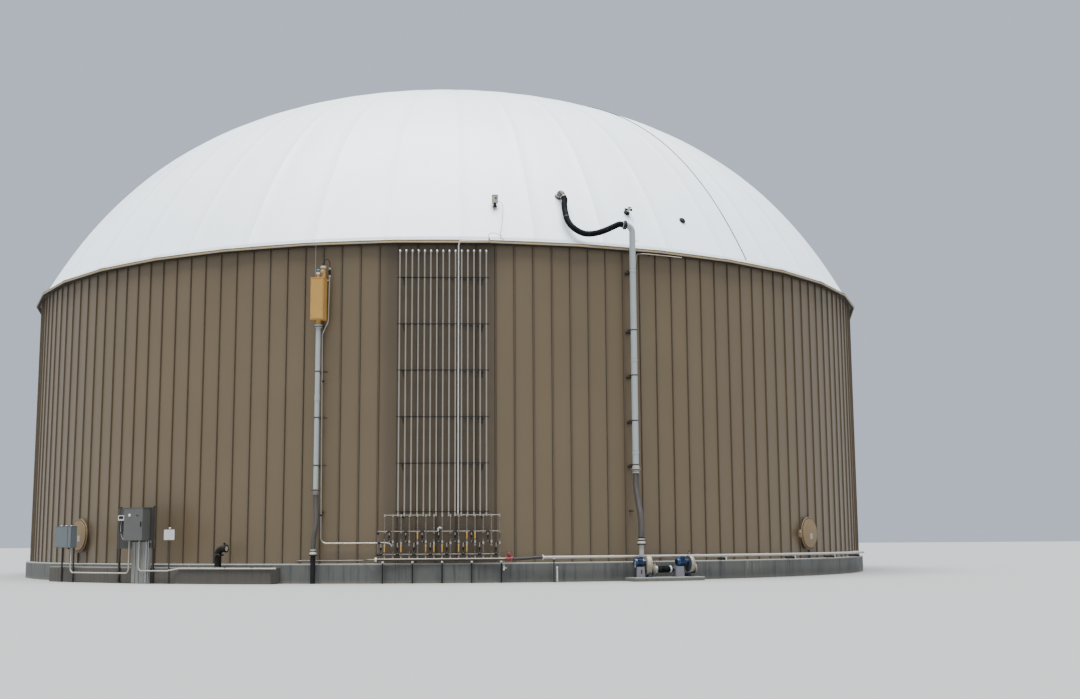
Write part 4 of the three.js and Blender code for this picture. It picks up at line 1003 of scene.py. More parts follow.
down = Piece(facing(RELIEF))
pipe_line = [spot(0, RELIEF_AXIS, PIPE_FOOT + 0.02), spot(0, RELIEF_AXIS, PIPE_HEAD)]
socket = [
    (0, PIPE_RADIUS + 0.001), (0.004, SOCKET_RADIUS), (0.17, SOCKET_RADIUS), (0.174, PIPE_RADIUS + 0.001)
]
down.tube(pipe_line, PIPE_RADIUS, grey_pipe, 32)
down.turned(
    spot(0, RELIEF_AXIS, PIPE_HEAD), -UP, [(0, 0.12), (0.012, 0.12), (0.014, 0.082), (0.05, 0.078)],
    grey_pipe, 32,
)
down.turned(spot(0, RELIEF_AXIS, SOCKET_FOOT), UP, socket, grey_pipe, 32)
flange(down, spot(0, RELIEF_AXIS, PIPE_FOOT + 0.008), UP, 0.12, 0.022, PIPE_RADIUS, iron)
down.turned(spot(0, RELIEF_AXIS, PIPE_FOOT), UP, [(0, 0.10), (0.008, 0.10), (0.009, 0.08)], cap_grey, 32)
for height in (6.52, 5.08, 3.60):
    wall_channel(down, 0, height, 17.19, strut)
    down.block((0.33, 0.036, STRUT_SIZE), spot(0.08, 17.052, height), strut, 0.002)
    split_ring(down, spot(0, RELIEF_AXIS, height), UP, PIPE_RADIUS, strut)
fit(down.done("relief_downpipe"), "grey_pipe", "relief_pipe")

# Relief hose: ribbed grey suction hose of soft plastic over a stiff spiral, clamped at both ends,
# that leads down to a black standpipe set in the ground.
RELIEF_HOSE_RADIUS = 0.074
HOSE_PITCH = 0.019
STUB_ACROSS = -0.05
STUB_TOP = 0.8903

hose_grey = finish(
    "grey_hose", (0.074, 0.067, 0.059), 0.6, Patch_size=0.3, Patch_depth=0.35, Stain_share=0.15
)

ribbed, given, gives = group(
    "ribbed_hose",
    "GeometryNodeTree",
    [
        ("Geometry", "Geometry", None),
        ("Radius", "Float", 0.08),
        ("Pitch", "Float", 0.02),
        ("Depth", "Float", 0.06),
        ("Sides", "Int", 24),
        ("Finish", "Material", None),
    ],
    [("Geometry", "Geometry")],
)
route = ribbed.nodes.new("GeometryNodeMeshToCurve")
feed(ribbed, route.inputs["Mesh"], given["Geometry"])
even = ribbed.nodes.new("GeometryNodeResampleCurve")
even.mode = "LENGTH"
feed(ribbed, even.inputs["Curve"], route.outputs[0])
feed(ribbed, even.inputs["Length"], calc(ribbed, "MULTIPLY", given["Pitch"], 0.25))
along = ribbed.nodes.new("GeometryNodeSplineParameter").outputs["Length"]
turns_done = calc(ribbed, "DIVIDE", calc(ribbed, "MULTIPLY", along, 2 * math.pi), given["Pitch"])
wave = calc(ribbed, "MULTIPLY_ADD", calc(ribbed, "SINE", turns_done), given["Depth"], 1.0)
sized = ribbed.nodes.new("GeometryNodeSetCurveRadius")
feed(ribbed, sized.inputs["Curve"], even.outputs[0])
feed(ribbed, sized.inputs["Radius"], wave)
rim = ribbed.nodes.new("GeometryNodeCurvePrimitiveCircle")
feed(ribbed, rim.inputs["Resolution"], given["Sides"])
feed(ribbed, rim.inputs["Radius"], given["Radius"])
skin = ribbed.nodes.new("GeometryNodeCurveToMesh")
feed(ribbed, skin.inputs["Curve"], sized.outputs[0])
feed(ribbed, skin.inputs["Profile Curve"], rim.outputs["Curve"])
skin.inputs["Fill Caps"].default_value = True
size_now = ribbed.nodes.new("GeometryNodeInputRadius").outputs[0]
feed(ribbed, skin.inputs["Scale"], size_now)
hose_painted = ribbed.nodes.new("GeometryNodeSetMaterial")
feed(ribbed, hose_painted.inputs["Geometry"], skin.outputs[0])
feed(ribbed, hose_painted.inputs["Material"], given["Finish"])
feed(ribbed, gives["Geometry"], hose_painted.outputs[0])


def ribbed_hose(piece, line, radius, paint, pitch=HOSE_PITCH, depth=0.055, sides=24):
    """A corrugated hose along a line of points."""
    route = bpy.data.meshes.new("route")
    route.from_pydata([tuple(p) for p in line], [(k, k + 1) for k in range(len(line) - 1)], [])
    made = run(ribbed, route, Radius=radius, Pitch=pitch, Depth=depth, Sides=sides, Finish=paint)
    piece.add(made, paint)


def hose_clamp(piece, centre, way, radius, paint):
    """A flat steel band round a hose's end."""
    outside = radius + 0.004
    piece.turned(
        centre, way, [(-0.012, radius), (-0.012, outside), (0.012, outside), (0.012, radius)], paint
    )


fall = Piece(facing(RELIEF))
fall_line = smooth_line(
    [
        spot(0, RELIEF_AXIS, 2.8197),
        spot(0, RELIEF_AXIS, 2.70),
        spot(0.020, RELIEF_AXIS, 2.35),
        spot(0.035, RELIEF_AXIS, 2.05),
        spot(0.022, RELIEF_AXIS, 1.72),
        spot(-0.035, RELIEF_AXIS, 1.38),
        spot(STUB_ACROSS, RELIEF_AXIS, 1.10),
        spot(STUB_ACROSS, RELIEF_AXIS, STUB_TOP),
    ]
)
ribbed_hose(fall, fall_line, RELIEF_HOSE_RADIUS, hose_grey)
fall.disc(spot(0, RELIEF_AXIS, 2.76), UP, 0.081, 0.05, cap_grey, 28)
hose_clamp(fall, spot(0.001, RELIEF_AXIS, 2.725), UP, 0.08, steel)
cone = [(0, 0.112), (0.03, 0.106), (0.068, 0.082), (0.07, 0.079)]
fall.turned(spot(STUB_ACROSS, RELIEF_AXIS, STUB_TOP), UP, cone, cap_grey, 28)
fall.disc(spot(STUB_ACROSS, RELIEF_AXIS, 0.962), UP, 0.082, 0.026, iron, 28)
fall.disc(spot(STUB_ACROSS, RELIEF_AXIS, 0.99), UP, 0.083, 0.05, cap_grey, 28)
fit(fall.done("relief_ribbed_hose"), "grey_hose", "relief_hose")

stub = Piece(facing(RELIEF))
stub_foot = spot(STUB_ACROSS, RELIEF_AXIS, 0)
stub.tube([stub_foot, stub_foot + 0.87 * UP], 0.074, iron, 32)
stub.turned(
    stub_foot + 0.66 * UP, UP, [(0, 0.074), (0.004, 0.081), (0.09, 0.081), (0.094, 0.074)], iron, 32
)
flange(stub, stub_foot + 0.84 * UP, UP, 0.118, 0.03, 0.074, iron)
fit(stub.done("relief_standpipe"), "black_iron", "relief_stub")

# Condensate line: thin stainless tube with screwed unions, from the relief valve's side down the
# wall and along to the manifold, with a small shut-off valve at its head.
DRAIN_RADIUS = 0.024
DRAIN_AXIS = 17.10
DRAIN_FOOT = 1.215
DRAIN_HEAD = -13.14

# The brushed group gives metal its drawn scratches.
brushed, given, gives = group(
    "brushed",
    "ShaderNodeTree",
    [("Where", "Vector", None), ("Line", "Vector", (900.0, 900.0, 12.0)), ("Roughness", "Float", 0.3)],
    [("Roughness", "Float")],
)
scratch = noise(brushed, vector_calc(brushed, "MULTIPLY", given["Where"], given["Line"]), 1.0, 2.0)
feed(brushed, gives["Roughness"], calc(brushed, "MULTIPLY_ADD", scratch, 0.2, given["Roughness"]))

stainless = finish(
    "stainless", (0.40, 0.36, 0.305), 0.3, metallic=0.8, Patch_size=0.4, Patch_depth=0.25, Stain_share=0.2
)
tree = stainless.node_tree
here = tree.nodes["Texture Coordinate"].outputs["Object"]
lines = use(stainless, brushed, Where=here, Roughness=0.26)
tree.links.new(lines["Roughness"], tree.nodes["Principled BSDF"].inputs["Roughness"])


def bent(corners, bend, steps=6):
    """A line through corners, each rounded to a bend radius."""
    line = [corners[0]]
    for before, corner, after in zip(corners, corners[1:], corners[2:]):
        into = (corner - before).normalized()
        out = (after - corner).normalized()
        angle = into.angle(out)
        if angle < 0.01:
            line.append(corner)
            continue
        start = corner - into * bend * math.tan(angle / 2)
        side = (out - into * into.dot(out)).normalized()
        turns = [angle * s / steps for s in range(steps + 1)]
        line += [start + bend * (math.sin(t) * into + (1 - math.cos(t)) * side) for t in turns]
    return line + [corners[-1]]


drain_line = bent(
    [
        at(DRAIN_HEAD, DRAIN_AXIS, 9.64),
        at(-13.22, DRAIN_AXIS, 8.12),
        at(-13.84, DRAIN_AXIS, 7.72),
        at(-13.66, DRAIN_AXIS, DRAIN_FOOT),
        at(-7.75, DRAIN_AXIS, DRAIN_FOOT),
    ],
    0.18,
    8,
)
drain = Piece()
drain.tube(drain_line, DRAIN_RADIUS, stainless, 14)
drain_head = at(DRAIN_HEAD, DRAIN_AXIS, 9.53)
drain.turned(drain_head, UP, [(0, 0.034), (0.05, 0.034), (0.06, 0.027)], cap_grey, 16)
drain.disc(drain_head + 0.06 * UP, UP, 0.036, 0.17, iron, 8)
drain.turned(
    drain_head + 0.23 * UP, UP, [(0, 0.027), (0.01, 0.034), (0.06, 0.034), (0.07, 0.02)], cap_grey, 16
)
drain.turned(
    drain_head + 0.15 * UP, at(DRAIN_HEAD, 1, 0), [(0, 0.02), (0.07, 0.02), (0.072, 0.03), (0.09, 0.03)],
    iron,
)
drain.tube([at(-13.15, DRAIN_AXIS, 9.42), at(RELIEF, 17.13, 9.42, 0.2095)], 0.016, cap_grey, 12)
foot_bracket = facing(-13.67)
drain.block((0.10, 0.13, STRUT_SIZE), foot_bracket @ spot(0, 17.005, 2.17), strut, 0.002, foot_bracket)
for height in (2.05, 6.2):
    drain.turned(at(-13.69, DRAIN_AXIS, height), UP, [(0, 0.036), (0.05, 0.036), (0.052, 0.03)], iron, 8)
for azimuth in (-11.4, -9.1):
    way = at(azimuth, 0, 0, 1)
    drain.disc(
        at(azimuth, DRAIN_AXIS * math.cos(math.radians(2)), DRAIN_FOOT), way, 0.033, 0.04, stainless, 8
    )
fit(drain.done("condensate_tube"), "stainless", "condensate_line")

# Riser rack: fifteen stainless tubes side by side, each turning into the wall at its head, clamped
# to six steel channels that stand off the cladding on short arms with gussets.
RISERS = 15
RISER_PITCH = 2.7 / 14
RISER_RADIUS = 0.026
RISER_FOOT = 2.05
RISER_HEAD = 10.33
STRUT_HEIGHTS = (9.44, 7.97, 6.52, 5.07, 3.64, 2.16)
STRUT_HALF = 1.44
STRUT_FRONT = 17.14
ARM_ACROSS = 1.21
first_riser = -RISER_PITCH * (RISERS - 1) / 2

rack = Piece(facing(RACK))
riser = Piece()
riser_line = bent(
    [spot(0, RACK_AXIS, RISER_FOOT), spot(0, RACK_AXIS, RISER_HEAD), spot(0, WALL_FACE, RISER_HEAD)], 0.09,
    8,
)
riser.tube(riser_line, RISER_RADIUS, stainless, 16)
riser.turned(
    spot(0, WALL_FACE + 0.02, RISER_HEAD), OUT, [(0, 0.048), (0.006, 0.048), (0.012, 0.034)], stainless, 20
)
for height in (RISER_FOOT + 0.02, 4.4, 7.3, RISER_HEAD - 0.13):
    riser.turned(
        spot(0, RACK_AXIS, height), UP,
        [(0, RISER_RADIUS), (0.002, 0.0305), (0.03, 0.0305), (0.032, RISER_RADIUS)], stainless, 16,
    )
copies = repeat(pattern_of(riser), RISERS, stainless, step=(RISER_PITCH, 0, 0))
rack.add(copies, stainless, Matrix.Translation((first_riser, 0, 0)))
for height in STRUT_HEIGHTS:
    middle = spot(0, STRUT_FRONT - 0.02, height)
    rack.block((2 * STRUT_HALF, 0.003, STRUT_SIZE), spot(0, STRUT_FRONT - 0.038, height), strut, 0)
    for side in (-1, 1):
        rack.block((2 * STRUT_HALF, 0.038, 0.003), middle + side * 0.019 * UP, strut, 0)
        rack.block(
            (2 * STRUT_HALF, 0.003, 0.009), spot(0, STRUT_FRONT - 0.0035, height + side * 0.016), strut, 0
        )
        wall_channel(rack, side * ARM_ACROSS, height - 0.042, STRUT_FRONT - 0.01, strut, 0.06)
        gusset = [
            (WALL_FACE, height - 0.06), (STRUT_FRONT - 0.03, height - 0.06), (WALL_FACE, height - 0.21)
        ]
        across = side * ARM_ACROSS
        rack.loft([[spot(across + off, r, z) for r, z in gusset] for off in (-0.02, 0.02)], strut)
    clamp = Piece()
    clamp.turned(
        spot(0, RACK_AXIS, height), UP,
        [(-0.012, RISER_RADIUS), (-0.012, 0.031), (0.012, 0.031), (0.012, RISER_RADIUS)], strut, 16,
    )
    clamp.block((0.012, 0.03, 0.03), spot(0.037, RACK_AXIS - 0.012, height), strut, 0)
    clamps = repeat(pattern_of(clamp), RISERS, strut, step=(RISER_PITCH, 0, 0))
    rack.add(clamps, strut, Matrix.Translation((first_riser, 0, 0)))
fit(rack.done("riser_tubes"), "stainless", "riser_rack")

# Manifold: each riser jogs sideways onto a drop of braided stainless hose. Lever valves sit on the
# drops, and side branches with valves tie them to an upper and a lower header.
DROPS = 15
DROP_PITCH = 0.25
DROP_RADIUS = 0.022
HEADER_UPPER = 1.56
HEADER_LOWER = 0.87
BRANCH_HEIGHTS = {1: (1.25, HEADER_UPPER), 0: (1.21, HEADER_LOWER)}
BRANCH_OFF = 0.11
YELLOW_UPPER = (4, 10, 11)
YELLOW_LOWER = (0, 2, 5, 6, 7, 9, 10)
UPPER_VALVE = 1.53
LOWER_VALVE = 1.14
STRAINER = -1.951
HEADER_TIP = 1.711
CROSS_RADIUS = 0.019

yellow = finish("yellow_grip", (0.62, 0.31, 0.012), 0.45, Patch_size=0.1, Patch_depth=0.3)
dull = finish(
    "worn_steel", (0.17, 0.15, 0.125), 0.5, metallic=0.6, Patch_size=0.05, Patch_depth=1.3, Grain_size=0.01
)

manifold = Piece(facing(RACK))
drop_first = -DROP_PITCH * (DROPS - 1) / 2
braid = Piece()
ribbed_hose(
    braid, [spot(0, RACK_AXIS, RISER_FOOT), spot(0, RACK_AXIS, 0.72)], DROP_RADIUS, dull, 0.09, 0.22, 10
)
drops = repeat(pattern_of(braid), DROPS, dull, step=(DROP_PITCH, 0, 0))
manifold.add(drops, dull, Matrix.Translation((drop_first, 0, 0)))


def lever_valve(piece, centre, grip):
    """A ball valve on an upright tube: a hexagon body, a stem and a flat lever hanging down."""
    body = [(0, 0.026), (0.022, 0.026), (0.024, 0.034), (0.056, 0.034), (0.058, 0.026), (0.08, 0.026)]
    piece.turned(centre - 0.04 * UP, UP, body, stainless, 8)
    piece.turned(centre, OUT, [(0.03, 0.012), (0.06, 0.012)], steel, 8)
    piece.block((0.030, 0.008, 0.20), centre + 0.062 * OUT - 0.09 * UP, grip, 0.003)


for k in range(DROPS):
    across = drop_first + k * DROP_PITCH
    riser_across = first_riser + k * RISER_PITCH
    manifold.turned(
        spot(across, RACK_AXIS, RISER_FOOT), UP, [(-0.045, 0.030), (0.028, 0.030), (0.032, 0.024)],
        stainless,
    )
    manifold.turned(
        spot(riser_across, RACK_AXIS, RISER_FOOT), UP, [(-0.028, 0.030), (0.04, 0.034)], stainless
    )
    for height, yellow_ones in ((UPPER_VALVE, YELLOW_UPPER), (LOWER_VALVE, YELLOW_LOWER)):
        if k in yellow_ones or k % 2 == (0 if height == UPPER_VALVE else 1):
            grip = yellow if k in yellow_ones else strut
            lever_valve(manifold, spot(across, RACK_AXIS, height), grip)
    join, header = BRANCH_HEIGHTS[k % 2]
    branch = [
        spot(across, RACK_AXIS, join),
        spot(across - BRANCH_OFF, RACK_AXIS, join),
        spot(across - BRANCH_OFF, RACK_AXIS, header),
    ]
    manifold.tube(bent(branch, 0.03, 4), 0.016, stainless, 10)
    manifold.turned(spot(across, RACK_AXIS, join), UP, [(-0.04, 0.034), (0.04, 0.034)], steel, 12)
    manifold.turned(spot(across - 0.06, RACK_AXIS, join), RIGHT, [(-0.03, 0.03), (0.03, 0.03)], iron, 8)
    middle = (join + header) / 2
    manifold.turned(
        spot(across - BRANCH_OFF, RACK_AXIS, middle), UP, [(-0.04, 0.028), (0.04, 0.028)], iron, 8
    )
    manifold.block(
        (0.026, 0.008, 0.17), spot(across - BRANCH_OFF, RACK_AXIS + 0.05, middle - 0.04), iron, 0.003
    )
    manifold.turned(
        spot(across - BRANCH_OFF, RACK_AXIS, header), RIGHT, [(-0.055, 0.034), (0.055, 0.034)], iron, 8
    )
    manifold.turned(spot(across, RACK_AXIS, 0.80), -UP, [(0, 0.024), (0.05, 0.028)], stainless, 12)
for side in (-1, 1):
    outer = spot(side * -drop_first, RACK_AXIS, RISER_FOOT)
    inner = spot(side * 4 * RISER_PITCH, RACK_AXIS, RISER_FOOT)
    manifold.tube([outer, inner], CROSS_RADIUS, dull, 12)
    for k in (1, 2, 3):
        jog = [
            spot(side * k * DROP_PITCH, RACK_AXIS, RISER_FOOT),
            spot(side * k * RISER_PITCH, RACK_AXIS, RISER_FOOT),
        ]
        manifold.tube(jog, CROSS_RADIUS, dull, 12)
for height in (HEADER_UPPER, HEADER_LOWER):
    header_ends = [spot(STRAINER, RACK_AXIS, height), spot(HEADER_TIP, RACK_AXIS, height)]
    manifold.tube(header_ends, 0.018, dull, 12)
ribbed_hose(
    manifold, [spot(STRAINER, RACK_AXIS, 0.74), spot(STRAINER, RACK_AXIS, 1.60)], 0.02, dull, 0.05, 0.14, 10
)
for height in (1.50, 0.86):
    manifold.turned(spot(STRAINER, RACK_AXIS, height), UP, [(-0.03, 0.032), (0.03, 0.032)], iron, 8)
    manifold.block((0.09, 0.02, 0.014), spot(STRAINER, RACK_AXIS + 0.05, height), iron, 0.003)
hook = smooth_line(
    [
        spot(-1.97, 17.13, 1.215),
        spot(-1.80, 17.20, 1.23),
        spot(-1.60, 17.215, 1.20),
        spot(-1.515, 17.20, 1.10),
        spot(-1.50, RACK_AXIS, 1.03),
    ]
)
manifold.tube(hook, 0.017, cap_grey, 10)
manifold.turned(spot(-1.90, 17.17, 1.215), RIGHT, [(-0.05, 0.03), (0.05, 0.03)], iron, 8)
gooseneck = smooth_line(
    [spot(-0.125, 17.19, 1.56), spot(-0.12, 17.20, 1.64), spot(-0.07, 17.21, 1.68), spot(-0.03, 17.21, 1.65)]
)
manifold.tube(gooseneck, 0.02, white_plastic, 10)
fit(manifold.done("manifold_valves"), "stainless", "manifold")

# Main header: a level steel pipe with painted shade along its underside, on five black iron legs with
# white plastic saddles and a white cap at its left end. A thin tube along the wall's foot feeds it.
HEADER_RADIUS = 0.040
HEADER_LEGS = (-1.8, -0.9, 0.0, 0.9, 1.8)
COCK = 1.88
FEED_START = -16.3
FEED_HEIGHT = 0.69

header_steel = finish(
    "header_steel", (0.20, 0.178, 0.145), 0.45, metallic=0.4, Patch_size=0.3, Patch_depth=0.4
)
tree = header_steel.node_tree
azimuth, reach, height = round_place(tree)
# Painted shade: the pipe's lower half is darkened as the shade on its underside.
tint(
    header_steel, between(tree, height, MAIN_HEIGHT - 0.006, MAIN_HEIGHT + 0.016, 0.9, 0.0),
    (0.04, 0.029, 0.018),
)
header = Piece(facing(RACK))
header.tube(
    [spot(-2.0, RACK_AXIS, MAIN_HEIGHT), spot(1.929, RACK_AXIS, MAIN_HEIGHT)], HEADER_RADIUS, header_steel,
    28,
)
header.turned(
    spot(-1.98, RACK_AXIS, MAIN_HEIGHT), -RIGHT, [(0, 0.066), (0.05, 0.066), (0.065, 0.05), (0.07, 0.02)],
    white_plastic,
)
for across in HEADER_LEGS:
    header.block((0.036, 0.036, 0.62), spot(across, RACK_AXIS, 0.31), iron, 0.002)
    header.block((0.11, 0.10, 0.008), spot(across, RACK_AXIS, 0.004), iron, 0.001)
    header.turned(
        spot(across, RACK_AXIS, 0.61), UP, [(0, 0.025), (0.012, 0.036), (0.05, 0.036), (0.066, 0.02)],
        white_plastic, 20,
    )
    header.turned(
        spot(across, RACK_AXIS, MAIN_HEIGHT), RIGHT,
        [(-0.02, HEADER_RADIUS), (-0.02, 0.047), (0.02, 0.047), (0.02, HEADER_RADIUS)], header_steel, 28,
    )
for across in (-1.35, -0.3, 0.62, 1.45):
    header.turned(
        spot(across, RACK_AXIS, MAIN_HEIGHT), RIGHT,
        [(-0.002, HEADER_RADIUS), (0, 0.0425), (0.003, HEADER_RADIUS)], header_steel, 28,
    )
header.tube([spot(COCK, RACK_AXIS, 0.68), spot(COCK, RACK_AXIS, 0.36)], 0.013, stainless, 10)
header.turned(
    spot(COCK, RACK_AXIS, 0.50), -UP,
    [(0, 0.03), (0.02, 0.03), (0.022, 0.022), (0.09, 0.022), (0.10, 0.03), (0.12, 0.03)], white_plastic, 12,
)
header.tube([spot(COCK, RACK_AXIS, 0.44), spot(1.96, RACK_AXIS + 0.02, 0.44)], 0.014, white_plastic, 8)
fit(header.done("main_header_pipe"), "stainless", "main_header")

supply = Piece()
supply_arc = [at(FEED_START + 7.2 * k / 12, 17.075, FEED_HEIGHT) for k in range(13)]
supply_line = bent(
    [
        at(FEED_START, WALL_FACE, FEED_HEIGHT), *supply_arc,
        *[at(RACK, RACK_AXIS, 0.715, a) for a in (-2.26, -2.0503)],
    ],
    0.06, 4,
)
supply.tube(supply_line, 0.023, dull, 14)
fit(supply.done("feed_tube"), "stainless", "feed_line")

# Gate valve: a cast body with two flanges, painted red, with a bolted bonnet, a rising stem and a
# five-spoked handwheel.
VALVE_START = 1.93
SPOKES = 5

red = finish("red_paint", (0.20, 0.008, 0.01), 0.38, Patch_size=0.1, Patch_depth=0.4, Stain_share=0.2)


def handwheel(piece, centre, axis, radius, paint):
    """A round rim on spokes round a hub."""
    piece.hoop(centre, axis, radius - 0.009, 0.009, paint, 32, 8)
    piece.turned(centre - 0.014 * axis, axis, [(0, 0.022), (0.028, 0.022), (0.03, 0.018)], paint, 16)
    side = axis.orthogonal().normalized()
    for k in range(SPOKES):
        t = 2 * math.pi * k / SPOKES
        way = math.cos(t) * side + math.sin(t) * axis.cross(side)
        piece.tube([centre + 0.015 * way, centre + (radius - 0.012) * way], 0.007, paint, 6)


gate = Piece(facing(RACK))
gate_start = spot(VALVE_START + GAP, RACK_AXIS, MAIN_HEIGHT)
gate_axis = spot(VALVE_START + 0.105, RACK_AXIS, MAIN_HEIGHT)
gate.turned(
    gate_start, RIGHT,
    [(0, 0.08), (0.022, 0.08), (0.03, 0.055), (0.10, 0.062), (0.18, 0.055), (0.188, 0.08), (0.21, 0.08)],
    red, 28,
)
for along, way in ((0.024, RIGHT), (0.186, -RIGHT)):
    bolts(gate, spot(VALVE_START + along, RACK_AXIS, MAIN_HEIGHT), way, 0.066, 4, 0.009, steel, 45)
gate.turned(
    gate_axis, UP,
    [(0.0, 0.05), (0.10, 0.047), (0.102, 0.062), (0.122, 0.062), (0.125, 0.035), (0.165, 0.024)], red, 20,
)
bolts(gate, gate_axis + 0.122 * UP, UP, 0.05, 4, 0.008, steel, 45)
gate.tube([gate_axis + 0.15 * UP, gate_axis + 0.262 * UP], 0.011, steel, 12)
handwheel(gate, gate_axis + 0.237 * UP, UP, 0.095, red)
fit(gate.done("gate_valve_body"), "red_paint", "gate_valve")

# Base pipe: grey plastic pipe that follows the wall just above the foundation, on strut arms with
# white end caps laid on the foundation's ledge, then turning into the wall far round to the right.
BASE_END = 64.2
BASE_LEG = 10.3
BASE_ARMS = (20.4, 30.6, 42.0, 51.4, 61.0)
BASE_SOCKETS = (16.5, 26.8, 37.1, 47.4, 57.7)
BASE_RADIUS = 0.043
ARM_HEIGHT = 0.6413

pale_pipe = finish("pale_pipe", (0.40, 0.385, 0.35), 0.4, Patch_size=0.8, Patch_depth=0.12, Stain_share=0.2)
base = Piece()
base_arc = [at(BASE_START + (BASE_END - BASE_START) * k / 90, BASE_AXIS, BASE_HEIGHT) for k in range(91)]
turn_in = bent(
    [
        base_arc[-1], at(BASE_END + 0.55, BASE_AXIS, BASE_HEIGHT),
        at(BASE_END + 0.55, WALL_FACE, BASE_HEIGHT),
    ],
    0.11,
    8,
)
base.tube(base_arc + turn_in[1:], BASE_RADIUS, pale_pipe, 20)
for azimuth in BASE_SOCKETS:
    way = at(azimuth, 0, 0, 1)
    base.turned(
        at(azimuth, BASE_AXIS, BASE_HEIGHT) - 0.05 * way, way,
        [(0, BASE_RADIUS), (0.003, 0.049), (0.097, 0.049), (0.1, BASE_RADIUS)], pale_pipe,
    )
base.turned(
    base_start, base_way, [(0, 0.085), (0.018, 0.085), (0.02, 0.055), (0.06, 0.046)], white_plastic, 28
)
bolts(base, base_start + 0.018 * base_way, base_way, 0.068, 4, 0.009, steel, 45)
fit(base.done("base_pipe_run"), "grey_pipe", "base_pipe")

arms = Piece()
for azimuth in BASE_ARMS:
    turn = facing(azimuth)
    arm_middle = turn @ spot(0, (16.985 + 17.395) / 2, ARM_HEIGHT)
    arms.block((STRUT_SIZE, 0.41, 0.078), arm_middle, strut, 0.002, turn)
    arms.block((0.045, 0.02, 0.082), turn @ spot(0, 17.40, ARM_HEIGHT), white_plastic, 0.006, turn)
    arms.block((0.07, 0.10, 0.03), turn @ spot(0, BASE_AXIS, 0.697), white_plastic, 0.006, turn)
leg = facing(BASE_LEG)
arms.block((STRUT_SIZE, STRUT_SIZE, 0.70), leg @ spot(0, BASE_AXIS, 0.35), strut, 0.002, leg)
arms.block((0.11, 0.11, 0.008), leg @ spot(0, BASE_AXIS, 0.004), strut, 0.001, leg)
arms.block((0.07, 0.10, 0.03), leg @ spot(0, BASE_AXIS, 0.712), white_plastic, 0.006, leg)
stand = Vector((0.10, 0, 0))
arms.tube(
    [leg @ (spot(0, BASE_AXIS, 0.02) + stand), leg @ (spot(0, BASE_AXIS, 0.42) + stand)], 0.025,
    white_plastic, 16,
)
arms.turned(
    leg @ (spot(0, BASE_AXIS, 0.42) + stand), UP, [(0, 0.031), (0.04, 0.031), (0.055, 0.015)],
    white_plastic, 16,
)
fit(arms.done("base_pipe_arms"), "strut")

# Eave conduit: white plastic conduit that climbs among the risers, bends over the trim's face and
# ends in a small grey junction fitting, with a thin cable looped from it up to the sensor box.
CONDUIT_RADIUS = 0.02
CLIMB_ACROSS = 0.48
CLIMB_AXIS = 17.1603
FITTING_ACROSS = 1.44

climb = Piece(facing(RACK))
climb_line = bent(
    [
        spot(CLIMB_ACROSS, CLIMB_AXIS, 2.09), spot(CLIMB_ACROSS, CLIMB_AXIS, 10.45),
        spot(0.52, 17.207, 10.61), spot(1.43, 17.181, 10.63),
    ],
    0.07,
    8,
)
climb.tube(climb_line, CONDUIT_RADIUS, white_plastic, 14)
for height in (3.1, 5.4, 7.7, 9.9):
    climb.turned(
        spot(CLIMB_ACROSS, CLIMB_AXIS, height), UP,
        [(0, 0.02), (0.002, 0.024), (0.05, 0.024), (0.052, 0.02)], white_plastic, 14,
    )
climb.block((0.07, 0.05, 0.09), spot(FITTING_ACROSS, 17.20, 10.63), cap_grey, 0.008)
climb.turned(spot(FITTING_ACROSS, 17.20, 10.675), UP, [(0, 0.018), (0.03, 0.018), (0.04, 0.01)], iron, 10)
sensor_cable = smooth_line(
    [
        spot(FITTING_ACROSS, 17.20, 10.70),
        spot(1.42, 17.10, 10.83),
        spot(1.62, 17.02, 10.90),
        spot(1.85, 16.98, 10.80),
    ]
)
climb.tube(sensor_cable, 0.007, iron, 6)
fit(climb.done("eave_conduit_run"), "white_plastic", "eave_conduit")

# Gas take-off: a brown-painted flange clamped to the membrane with ten bolts, with a short elbow of
# the same finish that the hose is pushed over and a steel band on its neck.
GAS_FLANGE = 12.55
GAS_FLANGE_REACH = 15.93
GAS_NECK = 0.098

flange_brown = finish("flange_brown", (0.05, 0.042, 0.033), 0.55, Patch_size=0.1, Patch_depth=0.5)
takeoff = Piece()
flange_way = dome_normal(GAS_FLANGE_REACH, GAS_FLANGE)
flange_centre = on_dome(GAS_FLANGE, GAS_FLANGE_REACH)
takeoff.turned(
    flange_centre - 0.03 * flange_way, flange_way, [(0, 0.14), (0.06, 0.14), (0.075, 0.13), (0.08, 0.09)],
    flange_brown, 40,
)
bolts(takeoff, flange_centre + 0.045 * flange_way, flange_way, 0.116, 10, 0.011, steel)
elbow_top = flange_centre + 0.23 * flange_way
elbow_end = at(12.72, 16.23, 12.44)
elbow_line = bent([flange_centre, elbow_top, elbow_end], 0.13, 10)
takeoff.tube(elbow_line, GAS_NECK, flange_brown, 28)
takeoff.turned(
    elbow_top - 0.15 * flange_way, flange_way,
    [(-0.02, 0.099), (-0.018, 0.11), (0.018, 0.11), (0.02, 0.099)], stainless, 28,
)
fit(takeoff.done("gas_takeoff"), "stainless", "gas_dome_fitting")

# Gas hoses: a black rubber hose hung in a slack bend from the membrane to the riser, and a grey
# ribbed one from the riser's foot down to the blower. Steel bands clamp both ends of each.
UPPER_HOSE_RADIUS = 0.096
LOWER_HOSE_RADIUS = 0.092
GAS = 19.5
GAS_AXIS = 17.30
RISER_RADIUS_BIG = 0.10
BAND_PLACE = 27

